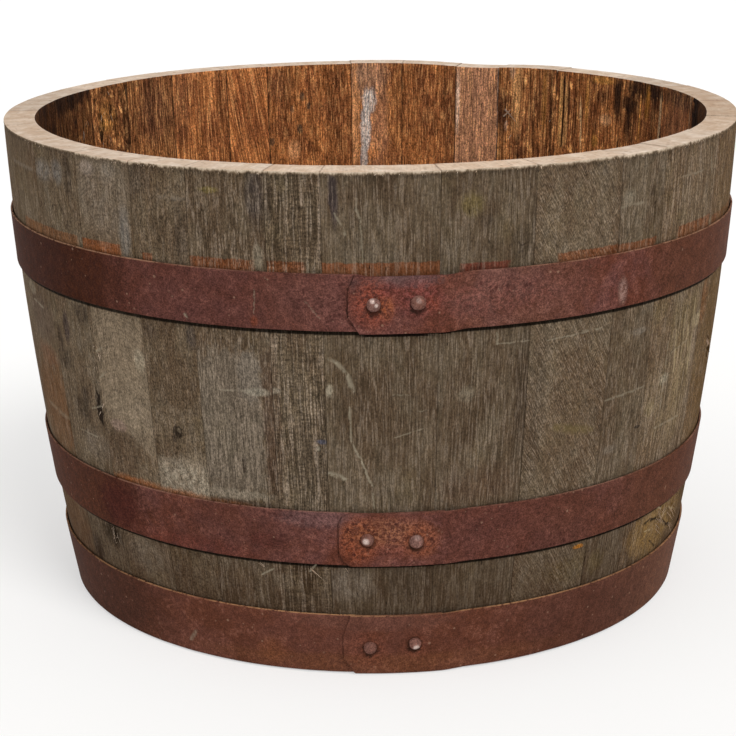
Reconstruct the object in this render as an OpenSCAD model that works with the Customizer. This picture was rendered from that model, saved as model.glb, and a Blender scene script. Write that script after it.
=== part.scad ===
// Half-barrel planter: an oak cask sawn through at its waist.
// The staves stand on the ground with radial joints between them, three riveted
// steel hoops hold them together, and the cask's own doweled head sits in the
// croze groove as the planter's floor.
// Millimetres. The axis is Z, the ground is z = 0 and the hoops' laps face -Y.
// A turn is an angle round the axis from the front (-Y), plus to the right (+X).

/* [Cask] */
// Outside diameter of the sawn rim
rim_d = 660; // [600:2:760]
// Outside diameter of the staves where they meet the ground
base_d = 564; // [500:2:620]
// Height from the ground to the sawn rim
height = 432; // [330:2:560]
// How far a stave bows out from the straight line between its ends
stave_bow = 8; // [1:0.5:16]
// Thickness of a stave, measured level
stave_t = 28; // [22:1:40]
// Width of each stave at the rim, shared out over its whole round
stave_widths = [
    92, 78, 82, 52, 92, 89, 89, 103, 77, 94, 75, 52, 63, 59,
    99, 50, 72, 67, 63, 84, 67, 86, 92, 68, 63, 54, 66, 44
]; // [40:1:110]
// Turn of the first stave's left joint
first_joint = -6.75; // [-20:0.25:20]

/* [Stave ends] */
// Thickness of a stave's end on the ground
chime_t = 16; // [10:1:20]
// Height of the level land between the end's bevel and the croze groove
chime_land = 5; // [2:0.5:12]
// Height of the croze groove above the ground
croze_z = 32; // [24:1:60]
// Height of the croze groove itself
croze_w = 6; // [4:0.5:10]
// Depth of the croze groove
croze_d = 5; // [3:0.5:8]
// Height of the hollow shaved above the groove
howel_w = 45; // [20:1:80]
// Depth of that hollow at the groove
howel_d = 2; // [0.5:0.25:4]

/* [Head] */
// Thickness of the head boards
head_t = 22; // [16:1:30]
// Clearance of the head's tongue in the groove
head_fit = 0.3; // [0.1:0.1:1]
// How far the tongue reaches in past the groove's mouth
tongue_past = 1.5; // [0.5:0.5:4]
// Width of the bevel from the tongue to the board's face
head_cant = 30; // [10:1:60]
// Width of each head board, shared out over the head's diameter
board_widths = [70, 78, 74, 82, 76, 80, 68]; // [50:1:120]

/* [Dowels] */
// Diameter of the dowels between the head boards
dowel_d = 8; // [6:0.5:10]
// Length of a dowel
dowel_l = 40; // [24:1:50]
// Clearance round a dowel
dowel_fit = 0.1; // [0.05:0.05:0.3]
// Free depth of the hole past each end of a dowel
dowel_end = 1; // [0.5:0.5:4]
// Chamfer on a dowel's ends
dowel_chamfer = 0.8; // [0.4:0.1:1.5]
// Distance from a joint's ends to its dowels
dowel_inset = 90; // [60:1:120]

/* [Drain holes] */
// Diameter of the drain holes
drain_d = 20; // [10:1:30]
// Each hole's board, counted from 0 at the front, and its place along that board
drain_holes = [[1, 90], [3, 0], [5, -90]]; // [-140:1:140]

/* [Hoop iron] */
// Thickness of the hoop iron
hoop_t = 2; // [1.2:0.1:3]
// Clearance between a hoop and the bowed staves
hoop_fit = 0.3; // [0.2:0.05:0.8]
// Clearance between the two thicknesses at a lap
lap_fit = 0.2; // [0.1:0.05:0.5]
// Length over which the outer strip steps down past the inner strip's end
lap_ramp = 24; // [12:1:50]

/* [Upper hoop] */
// Distance from the rim down to the hoop
upper_hoop_down = 79.5; // [60:0.5:110]
// Width of the iron
upper_hoop_w = 46.7; // [36:0.1:60]
// Turn of the middle of the lap
upper_lap_turn = 3.2; // [-180:0.1:180]
// Distance between the lap's two rivets
upper_rivet_pitch = 34; // [24:0.5:60]
// Distance from each rivet to the end of its strip
upper_lap_tail = 19.5; // [14:0.5:40]
// How much higher the right rivet sits than the left
upper_rivet_rise = 1; // [-8:0.5:8]
// How far the outer strip hangs below the inner one
upper_lap_drop = 1.5; // [0:0.1:4]
// Corners cut off the outer strip: lower width and height, upper width and height
upper_lap_clip = [8.5, 13.5, 5, 12]; // [1:0.5:20]

/* [Middle hoop] */
// Height of the hoop above the ground
middle_hoop_z = 103.2; // [80:0.1:130]
// Width of the iron
middle_hoop_w = 48.8; // [36:0.1:60]
// Turn of the middle of the lap
middle_lap_turn = 2.7; // [-180:0.1:180]
// Distance between the lap's two rivets
middle_rivet_pitch = 39; // [24:0.5:60]
// Distance from each rivet to the end of its strip
middle_lap_tail = 23; // [14:0.5:40]
// How much higher the right rivet sits than the left
middle_rivet_rise = -2.5; // [-8:0.5:8]
// Radius of the outer strip's rounded corners
middle_lap_round = 12; // [2:0.5:20]

/* [Base hoop] */
// Height of the hoop above the ground
base_hoop_z = 1.2; // [1:0.1:12]
// Width of the iron
base_hoop_w = 56.4; // [44:0.1:64]
// Turn of the middle of the lap
base_lap_turn = 2.9; // [-180:0.1:180]
// Distance between the lap's two rivets
base_rivet_pitch = 36.5; // [24:0.5:60]
// Distance from each rivet to the end of its strip
base_lap_tail = 22; // [14:0.5:40]
// How much higher the right rivet sits than the left
base_rivet_rise = 3; // [-8:0.5:8]
// Corners cut off the outer strip: lower width and height, upper width and height
base_lap_clip = [9, 14, 6.5, 20]; // [1:0.5:24]

/* [Rivets] */
// Diameter of a rivet's shank
rivet_d = 6; // [4:0.5:8]
// Diameter of its domed head
rivet_head_d = 12; // [9:0.5:16]
// Height of its domed head
rivet_head_h = 5.5; // [3:0.5:8]
// Diameter of its tail, closed flush with the inner strip
rivet_tail_d = 8.5; // [7:0.5:12]
// Depth of the countersink that the tail fills
rivet_sink = 1.4; // [0.8:0.1:1.8]
// Clearance round the shank and the tail
rivet_fit = 0.1; // [0.05:0.05:0.2]

/* [Hidden] */
$fn = 180;
FRONT = -90;         // angle of the front, -Y, from +X
OAK_OUT = [0.40, 0.36, 0.30];
OAK_HEAD = [0.52, 0.36, 0.22];
DOWEL_WOOD = [0.75, 0.60, 0.42];
HOOP_IRON = [0.36, 0.22, 0.19];
RIVET_IRON = [0.45, 0.33, 0.30];
FACE_STEPS = 12;     // straight lengths that follow a stave's bow
HOWEL_STEPS = 5;     // straight lengths that follow the shaved hollow
RAMP_STEPS = 8;      // sections along the step at the end of a lap
DOME_STEPS = 8;      // rings of a rivet's dome
DOME_FULLNESS = 0.8; // 1 is a half ellipse, less is fuller
OVER = 1;            // how far a cutting shape reaches past what it cuts
RAMP_BURY = 1;       // how far the ramp's ends run into the strips they join
RAMP_SHY = 0.05;     // how much slimmer the ramp is than the strips, on each face

rim_r = rim_d / 2;
base_r = base_d / 2;
croze_top = croze_z + croze_w;
howel_top = croze_top + howel_w;

function total(list, upto) = upto <= 0 ? 0 : list[upto - 1] + total(list, upto - 1);
function two_digits(n) = str(n < 10 ? "0" : "", n);
function smooth(u) = u * u * (3 - 2 * u);

// ---- Staves -------------------------------------------------------------

STAVES = len(stave_widths);
ROUND = total(stave_widths, STAVES);

// Outer and inner radius of the staves at a height
function outer_r(z) =
    let (s = z / height) base_r + (rim_r - base_r) * s + 4 * stave_bow * s * (1 - s);
function inner_r(z) = outer_r(z) - stave_t;
function howel_r(z) = inner_r(z) + howel_d * pow(1 - (z - croze_top) / howel_w, 2);

land_r = inner_r(croze_z) + howel_d; // groove's mouth
seat_r = land_r + croze_d;           // groove's bottom

function stave_turn(i) = first_joint + 360 * total(stave_widths, i) / ROUND;
function stave_angle(i) = 360 * stave_widths[i] / ROUND;
function stave_name(i) = str("stave_", two_digits(i + 1));

// Upright section of a stave: outer face up, inner face down, then the
// shaved hollow, the croze groove and the bevelled end
stave_section = concat(
    [for (k = [0:FACE_STEPS]) let (z = height * k / FACE_STEPS) [outer_r(z), z]],
    [for (k = [0:FACE_STEPS])
        let (z = height + (howel_top - height) * k / FACE_STEPS) [inner_r(z), z]],
    [for (k = [1:HOWEL_STEPS]) let (z = howel_top - howel_w * k / HOWEL_STEPS) [howel_r(z), z]],
    [
        [seat_r, croze_top],
        [seat_r, croze_z],
        [land_r, croze_z],
        [land_r, croze_z - chime_land],
        [base_r - chime_t, 0]
    ]
);

module stave(i) {
    color(OAK_OUT)
        rotate([0, 0, FRONT + stave_turn(i)])
            rotate_extrude(angle = stave_angle(i))
                polygon(stave_section);
}

// ---- Head ---------------------------------------------------------------

BOARDS = len(board_widths);
HEAD_SPAN = total(board_widths, BOARDS);

head_r = seat_r - head_fit;
head_mid = croze_z + croze_w / 2;
tongue_r = land_r - tongue_past;
tongue_half = croze_w / 2 - head_fit;

// Upper half of the head's section, from its middle out to the tongue
head_edge = [[tongue_r - head_cant, head_t / 2], [tongue_r, tongue_half], [head_r, tongue_half]];
head_section = concat(
    [[0, -head_t / 2]],
    [for (p = head_edge) [p[0], -p[1]]],
    [for (k = [len(head_edge) - 1:-1:0]) head_edge[k]],
    [[0, head_t / 2]]
);

// Joint k lies before board k; the first and last are past the head's edge
function joint_y(k) =
    k == 0 ? -head_r - OVER : k == BOARDS ? head_r + OVER
    : head_r * (2 * total(board_widths, k) / HEAD_SPAN - 1);
function board_mid(i) = head_r * (2 * total(board_widths, i) + board_widths[i] - HEAD_SPAN) / HEAD_SPAN;
function board_name(i) = str("head_board_", i + 1);

module at_dowels(k) {
    reach = sqrt(pow(tongue_r, 2) - pow(joint_y(k), 2)) - dowel_inset;
    for (x = [-reach, reach])
        translate([x, joint_y(k), head_mid])
            rotate([90, 0, 0])
                children();
}

module dowel_hole() {
    cylinder(d = dowel_d + 2 * dowel_fit, h = dowel_l + 2 * dowel_end, center = true);
}

module head_board(i) {
    color(OAK_HEAD)
        difference() {
            intersection() {
                translate([0, 0, head_mid])
                    rotate_extrude()
                        polygon(head_section);
                translate([-head_r - OVER, joint_y(i), 0])
                    cube([2 * (head_r + OVER), joint_y(i + 1) - joint_y(i), height]);
            }
            for (k = [i, i + 1])
                if (k > 0 && k < BOARDS)
                    at_dowels(k) dowel_hole();
            for (hole = drain_holes)
                if (hole[0] == i)
                    translate([hole[1], board_mid(i), 0])
                        cylinder(d = drain_d, h = height);
        }
}

module dowel() {
    rotate_extrude()
        polygon([
            [0, -dowel_l / 2],
            [dowel_d / 2 - dowel_chamfer, -dowel_l / 2],
            [dowel_d / 2, dowel_chamfer - dowel_l / 2],
            [dowel_d / 2, dowel_l / 2 - dowel_chamfer],
            [dowel_d / 2 - dowel_chamfer, dowel_l / 2],
            [0, dowel_l / 2]
        ]);
}

module head_dowels() {
    color(DOWEL_WOOD)
        for (k = [1:BOARDS - 1])
            at_dowels(k) dowel();
}

// ---- Hoops --------------------------------------------------------------

// A hoop is [height, width, turn, rivet pitch, tail, rivet rise, drop]
UPPER = [
    height - upper_hoop_down - upper_hoop_w, upper_hoop_w, upper_lap_turn,
    upper_rivet_pitch, upper_lap_tail, upper_rivet_rise, upper_lap_drop
];
MIDDLE = [
    middle_hoop_z, middle_hoop_w, middle_lap_turn,
    middle_rivet_pitch, middle_lap_tail, middle_rivet_rise, 0
];
BASE = [
    base_hoop_z, base_hoop_w, base_lap_turn,
    base_rivet_pitch, base_lap_tail, base_rivet_rise, 0
];

function hoop_z(h) = h[0];
function hoop_w(h) = h[1];
function lap_turn(h) = h[2];
function half_pitch(h) = h[3] / 2;
function half_lap(h) = half_pitch(h) + h[4];
function half_rise(h) = h[5] / 2;
function lap_drop(h) = h[6];

lap_lift = hoop_t + lap_fit;
stack = lap_lift + hoop_t; // both thicknesses at a lap

// Lean of the iron from upright, as the staves lean behind it
function lean(h) = atan2(outer_r(hoop_z(h) + hoop_w(h)) - outer_r(hoop_z(h)), hoop_w(h));

// Angle that a length along the hoop takes up
function spread(h, length) = length / outer_r(hoop_z(h) + hoop_w(h) / 2) * 180 / PI;

// [radius, height] of a point so far out from the hoop's inner face and up from its lower edge
function on_hoop(h, out, up) =
    [
        outer_r(hoop_z(h)) + hoop_fit + out * cos(lean(h)) + up * sin(lean(h)),
        hoop_z(h) - out * sin(lean(h)) + up * cos(lean(h))
    ];

// Section of the iron, lifted off the staves, dropped and slimmed by a little
function iron_section(h, lift = 0, drop = 0, shy = 0) =
    [
        on_hoop(h, lift + shy, shy - drop),
        on_hoop(h, lift + hoop_t - shy, shy - drop),
        on_hoop(h, lift + hoop_t - shy, hoop_w(h) - shy - drop),
        on_hoop(h, lift + shy, hoop_w(h) - shy - drop)
    ];

module strip(turn, angle, section) {
    rotate([0, 0, FRONT + turn])
        rotate_extrude(angle = angle)
            polygon(section);
}

// The outer strip's step from the lap down to the single thickness
module ramp(h) {
    turns = concat(
        [-spread(h, RAMP_BURY)],
        [for (k = [1:RAMP_STEPS - 1]) spread(h, lap_ramp) * k / RAMP_STEPS],
        [spread(h, lap_ramp + RAMP_BURY)]
    );
    start = FRONT + lap_turn(h) + spread(h, half_lap(h));
    points = [
        for (k = [0:RAMP_STEPS])
            let (off = 1 - smooth(k / RAMP_STEPS), a = start + turns[k])
                for (p = iron_section(h, lap_lift * off, lap_drop(h) * off, RAMP_SHY))
                    [p[0] * cos(a), p[0] * sin(a), p[1]]
    ];
    sides = [
        for (k = [0:RAMP_STEPS - 1], c = [0:3])
            let (d = (c + 1) % 4) [4 * k + c, 4 * k + d, 4 * k + 4 + d, 4 * k + 4 + c]
    ];
    last = 4 * RAMP_STEPS;
    polyhedron(
        points,
        concat([[3, 2, 1, 0]], sides, [[last, last + 1, last + 2, last + 3]]),
        convexity = 4
    );
}

// Stands a flat shape on the outer strip's free end: x along the strip, y up it
module at_lap_end(h, up) {
    foot = on_hoop(h, 0, up - lap_drop(h));
    rotate([0, 0, FRONT + lap_turn(h) - spread(h, half_lap(h))])
        translate([foot[0], 0, foot[1]])
            rotate([0, lean(h), 0])
                rotate([90, 0, 90])
                    linear_extrude(height = 2 * stack)
                        children();
}

// A corner cut off straight, so wide and so high
module straight_corner(w, h) {
    polygon([[-OVER, -OVER], [w + OVER * w / h, -OVER], [-OVER, h + OVER * h / w]]);
}

// A corner cut off round
module round_corner(r) {
    difference() {
        translate([-OVER, -OVER]) square(r + OVER);
        translate([r, r]) circle(r);
    }
}

module at_rivets(h) {
    for (side = [-1, 1]) {
        foot = on_hoop(h, 0, hoop_w(h) / 2 + side * half_rise(h));
        rotate([0, 0, FRONT + lap_turn(h) + side * spread(h, half_pitch(h))])
            translate([foot[0], 0, foot[1]])
                rotate([0, 90 + lean(h), 0])
                    children();
    }
}

module rivet_hole() {
    widen = (rivet_tail_d - rivet_d) / 2 / rivet_sink;
    translate([0, 0, -OVER]) cylinder(d = rivet_d + 2 * rivet_fit, h = stack + 2 * OVER);
    translate([0, 0, -OVER])
        cylinder(
            r1 = rivet_tail_d / 2 + rivet_fit + widen * OVER,
            r2 = rivet_d / 2 + rivet_fit,
            h = rivet_sink + OVER
        );
}

// Children: the shapes cut off the lap's lower and upper corner
module hoop(h) {
    lap = spread(h, half_lap(h));
    step = spread(h, lap_ramp);
    color(HOOP_IRON)
        difference() {
            union() {
                strip(lap_turn(h) + lap + step, 360 - step, iron_section(h));
                ramp(h);
                difference() {
                    strip(lap_turn(h) - lap, 2 * lap, iron_section(h, lap_lift, lap_drop(h)));
                    at_lap_end(h, 0) children(0);
                    at_lap_end(h, hoop_w(h)) mirror([0, 1]) children(1);
                }
            }
            at_rivets(h) rivet_hole();
        }
}

module upper_hoop() {
    hoop(UPPER) {
        straight_corner(upper_lap_clip[0], upper_lap_clip[1]);
        straight_corner(upper_lap_clip[2], upper_lap_clip[3]);
    }
}

module middle_hoop() {
    hoop(MIDDLE) {
        round_corner(middle_lap_round);
        round_corner(middle_lap_round);
    }
}

module base_hoop() {
    hoop(BASE) {
        straight_corner(base_lap_clip[0], base_lap_clip[1]);
        straight_corner(base_lap_clip[2], base_lap_clip[3]);
    }
}

// ---- Rivets -------------------------------------------------------------

// Tail in its countersink, shank through both strips, domed head outside
module rivet() {
    seat = stack + rivet_fit;
    rotate_extrude()
        polygon(concat(
            [
                [0, rivet_fit],
                [rivet_tail_d / 2, rivet_fit],
                [rivet_d / 2, rivet_sink + rivet_fit],
                [rivet_d / 2, seat]
            ],
            [for (k = [0:DOME_STEPS])
                let (a = 90 * k / DOME_STEPS)
                    [rivet_head_d / 2 * cos(a), seat + rivet_head_h * pow(sin(a), DOME_FULLNESS)]]
        ));
}

module rivets(h) {
    color(RIVET_IRON)
        at_rivets(h) rivet();
}

// ---- Assembly -----------------------------------------------------------

for (i = [0:STAVES - 1])
    stave(i);
for (i = [0:BOARDS - 1])
    head_board(i);
head_dowels();
upper_hoop();
middle_hoop();
base_hoop();
rivets(UPPER);  // upper_rivets
rivets(MIDDLE);  // middle_rivets
rivets(BASE);  // base_rivets
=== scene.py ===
"""Half-barrel planter: an oak cask sawn through at its waist, with riveted hoops.

Lengths are in metres, and marks on a finish are in millimetres. A turn is an angle in degrees round
the cask's axis from the front (-Y), plus to the right (+X).
"""
import logging
import math
from dataclasses import dataclass, replace
from enum import Enum
from typing import Callable, NamedTuple
import bpy
import numpy as np
from mathutils import Matrix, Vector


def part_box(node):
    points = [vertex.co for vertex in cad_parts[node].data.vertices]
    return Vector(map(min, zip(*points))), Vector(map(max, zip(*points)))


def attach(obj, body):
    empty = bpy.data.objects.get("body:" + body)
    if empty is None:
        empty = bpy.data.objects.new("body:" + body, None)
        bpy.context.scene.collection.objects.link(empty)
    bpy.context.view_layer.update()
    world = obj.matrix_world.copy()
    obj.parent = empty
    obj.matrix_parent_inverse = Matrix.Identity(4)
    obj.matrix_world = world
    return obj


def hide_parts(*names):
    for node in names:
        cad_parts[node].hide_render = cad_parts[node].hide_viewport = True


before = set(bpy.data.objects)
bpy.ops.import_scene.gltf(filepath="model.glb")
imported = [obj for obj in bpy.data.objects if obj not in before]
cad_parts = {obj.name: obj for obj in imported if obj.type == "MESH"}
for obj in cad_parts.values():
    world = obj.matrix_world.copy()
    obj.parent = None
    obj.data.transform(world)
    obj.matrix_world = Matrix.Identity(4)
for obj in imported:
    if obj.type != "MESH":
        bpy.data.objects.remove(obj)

MM = 0.001
BODY = "root"
UPPER_FOOT, MIDDLE_FOOT, BASE_FOOT = 0.3058, 0.1032, 0.0012
LOG = logging.getLogger("planter")
Colour = tuple[float, float, float]


class Slot(Enum):
    """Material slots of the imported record."""

    STAVE = "stave_oak"
    HEAD = "head_oak"
    DOWEL = "dowel_wood"
    HOOP = "hoop_iron"
    RIVET = "rivet_iron"


class Zone(Enum):
    """Faces of a stave, each with a finish of its own."""

    OUTSIDE = 0
    RIM = 1
    INSIDE = 2


class LapEnd(Enum):
    """How the free end of a hoop is cut."""

    CLIPPED = "corners cut straight"
    ROUNDED = "corners cut round"


def paint(red: float, green: float, blue: float) -> Colour:
    """Scene-linear colour of a display colour.

    Args:
        red, green, blue: channels from 0 to 255.

    Returns:
        The three linear channels, from 0 to 1.
    """
    def linear(channel: float) -> float:
        """Linear value of one display channel."""
        c = channel / 255
        return c / 12.92 if c <= 0.04045 else ((c + 0.055) / 1.055) ** 2.4

    return linear(red), linear(green), linear(blue)


def tinted(colour: Colour, tone: float, warmth: float = 0.0) -> Colour:
    """A colour made lighter or darker, and warmer or cooler.

    Args:
        colour: linear colour.
        tone: factor on all channels.
        warmth: share added to red and taken from blue.

    Returns:
        The changed linear colour.
    """
    red, green, blue = colour
    return red * tone * (1 + warmth), green * tone, blue * tone * (1 - warmth)


def smooth(values: np.ndarray, low: float, high: float) -> np.ndarray:
    """Smooth step from 0 at low to 1 at high, which may be the smaller of the two."""
    t = np.clip((values - low) / (high - low), 0, 1)
    return t * t * (3 - 2 * t)


@dataclass(frozen=True)
class Noise:
    """Smooth random heights over a plane, the same on every run."""

    seed: int

    def corner(self, i: np.ndarray, j: np.ndarray) -> np.ndarray:
        """Random value from -1 to 1 at whole-numbered places.

        Args:
            i, j: the places.

        Returns:
            The values, the same on every run.
        """
        bits = (i * 374761393 + j * 668265263 + self.seed * 974634777) & 0xFFFFFFFF
        bits = ((bits ^ (bits >> 13)) * 1274126177) & 0xFFFFFFFF
        return (bits ^ (bits >> 16)) / 0x7FFFFFFF - 1

    def at(self, x: np.ndarray, y: np.ndarray) -> np.ndarray:
        """Smooth value from -1 to 1 at each place, with a grain of 1.

        Args:
            x, y: the places.

        Returns:
            The values.
        """
        i, j = np.floor(x).astype(np.int64), np.floor(y).astype(np.int64)
        u, v = smooth(x - i, 0, 1), smooth(y - j, 0, 1)
        near = self.corner(i, j) * (1 - u) + self.corner(i + 1, j) * u
        far = self.corner(i, j + 1) * (1 - u) + self.corner(i + 1, j + 1) * u
        return near * (1 - v) + far * v

    def layered(self, x: np.ndarray, y: np.ndarray, layers: int = 3) -> np.ndarray:
        """Sum of finer and finer noise.

        Args:
            x, y: places, with a coarsest grain of 1.
            layers: how many sizes of grain.

        Returns:
            Values from about -1 to 1.
        """
        total, weight = np.zeros(np.broadcast(x, y).shape), 0.0
        for layer in range(layers):
            share = 0.5 ** layer
            total = total + share * self.at(x * 2 ** layer + 17 * layer, y * 2 ** layer)
            weight += share
        return total / weight


# ---- Shader nodes ---------------------------------------------------------


@dataclass(frozen=True)
class Signal:
    """An output of a node that takes part in plain arithmetic, which adds maths nodes."""

    w: "Wiring"
    socket: bpy.types.NodeSocket

    def __add__(self, other: object) -> "Signal":
        """This plus another."""
        return self.w.calc("ADD", self, other)

    def __sub__(self, other: object) -> "Signal":
        """This minus another."""
        return self.w.calc("SUBTRACT", self, other)

    def __rsub__(self, other: float) -> "Signal":
        """A number minus this."""
        return self.w.calc("SUBTRACT", other, self)

    def __mul__(self, other: object) -> "Signal":
        """This times another."""
        return self.w.calc("MULTIPLY", self, other)

    def __truediv__(self, other: object) -> "Signal":
        """This over another."""
        return self.w.calc("DIVIDE", self, other)

    def __rtruediv__(self, other: float) -> "Signal":
        """A number over this."""
        return self.w.calc("DIVIDE", other, self)


class Wiring:
    """Adds nodes to one node tree and feeds them signals or plain values."""

    def __init__(self, tree: bpy.types.NodeTree, effects: "Effects | None" = None) -> None:
        """Keeps the tree to add to, and the shared effects that it can place."""
        self.tree, self.effects = tree, effects

    def feed(self, socket: bpy.types.NodeSocket, value: object) -> None:
        """Links a signal into a socket, or sets a plain value on it.

        Args:
            socket: the input.
            value: a signal, a colour or a number.
        """
        if isinstance(value, Signal):
            self.tree.links.new(value.socket, socket)
        elif socket.type == "RGBA" and len(value) == 3:
            socket.default_value = (*value, 1)
        else:
            socket.default_value = value

    def add(self, kind: str, feeds: dict, **settings: object) -> bpy.types.Node:
        """Adds a node.

        Args:
            kind: Blender's name for the node.
            feeds: input name or number to a signal or value.
            settings: the node's own settings.

        Returns:
            The node.
        """
        node = self.tree.nodes.new(kind)
        for name, value in settings.items():
            setattr(node, name, value)
        for key, value in feeds.items():
            self.feed(node.inputs[key], value)
        return node

    def result(self, kind: str, feeds: dict, which: int | str = 0, **settings: object) -> Signal:
        """Adds a node and gives one of its outputs."""
        return Signal(self, self.add(kind, feeds, **settings).outputs[which])

    def calc(self, operation: str, *values: object) -> Signal:
        """Result of a maths node."""
        return self.result("ShaderNodeMath", dict(enumerate(values)), operation=operation)

    def blend(self, share: object, under: object, over: object, how: str = "MIX") -> Signal:
        """Colour over another colour by a share."""
        feeds = {0: share, 6: under, 7: over}
        return self.result("ShaderNodeMix", feeds, 2, data_type="RGBA", blend_type=how)

    def remap(self, value: Signal, low: object, high: object, top: object = 1.0, foot: float = 0.0) -> Signal:
        """Smooth step from foot at low to top at high."""
        feeds = {0: value, 1: low, 2: high, 3: foot, 4: top}
        return self.result("ShaderNodeMapRange", feeds, interpolation_type="SMOOTHSTEP")

    def toned(self, colour: Signal, *factors: Signal) -> Signal:
        """Colour made lighter or darker by factors.

        Args:
            colour: the colour.
            factors: what it is multiplied by.

        Returns:
            The toned colour.
        """
        for factor in factors:
            colour = self.blend(1.0, colour, factor, "MULTIPLY")
        return colour

    def off_dark(self, share: Signal, colour: Signal, dark: float, light: float) -> Signal:
        """A share that fades out where a colour under it goes from light to dark."""
        return share * self.remap(self.result("ShaderNodeRGBToBW", {0: colour}), dark, light)

    def split(self, vector: Signal) -> tuple[Signal, Signal, Signal]:
        """The three parts of a vector."""
        return tuple(Signal(self, part) for part in self.add("ShaderNodeSeparateXYZ", {0: vector}).outputs)

    def join(self, x: object, y: object, z: object) -> Signal:
        """Vector of three parts."""
        return self.result("ShaderNodeCombineXYZ", {0: x, 1: y, 2: z})

    def there(self) -> Signal:
        """The place on the object itself."""
        return self.result("ShaderNodeTexCoord", {}, "Object")

    def noise(self, place: Signal, scale: float = 1.0, detail: float = 2.0, rough: float = 0.5) -> Signal:
        """Value of a 3-D noise texture."""
        feeds = {"Vector": place, "Scale": scale, "Detail": detail, "Roughness": rough}
        return self.result("ShaderNodeTexNoise", feeds, noise_dimensions="3D")

    def effect(self, name: str, **feeds: object) -> dict[str, Signal]:
        """Places a shared effect.

        Args:
            name: the effect's name.
            feeds: input name to a signal or value.

        Returns:
            Its outputs by name.
        """
        node = self.tree.nodes.new("ShaderNodeGroup")
        node.node_tree = self.effects.trees[name]
        for label, value in feeds.items():
            self.feed(node.inputs[label], value)
        return {output.name: Signal(self, output) for output in node.outputs}

    def mask(self, name: str, place: Signal, **feeds: object) -> Signal:
        """Places a shared effect that gives one mask."""
        return self.effect(name, Place=place, **feeds)["Mask"]

    def cloud(self, place: Signal, seed: float, size: float, stretch: float = 1.0) -> Signal:
        """Soft patches of a size, longer up the piece by a stretch."""
        return self.mask("cloud", place, Seed=seed, Size=size, Stretch=stretch)

    def dress(self, shader: bpy.types.Node, colour: Signal, rough: Signal, relief: Signal,
              bump: tuple[float, float], gloss: float) -> None:
        """Feeds a shader its finish.

        Args:
            shader: the Principled BSDF.
            colour, rough: its base colour and roughness.
            relief: height over the surface, from 0 to 1.
            bump: strength and depth in metres of that relief.
            gloss: its specular level.
        """
        feeds = {"Strength": bump[0], "Distance": bump[1], "Height": relief}
        self.feed(shader.inputs["Base Color"], colour)
        self.feed(shader.inputs["Roughness"], rough)
        self.feed(shader.inputs["Normal"], self.result("ShaderNodeBump", feeds))
        shader.inputs["Specular IOR Level"].default_value = gloss


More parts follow.
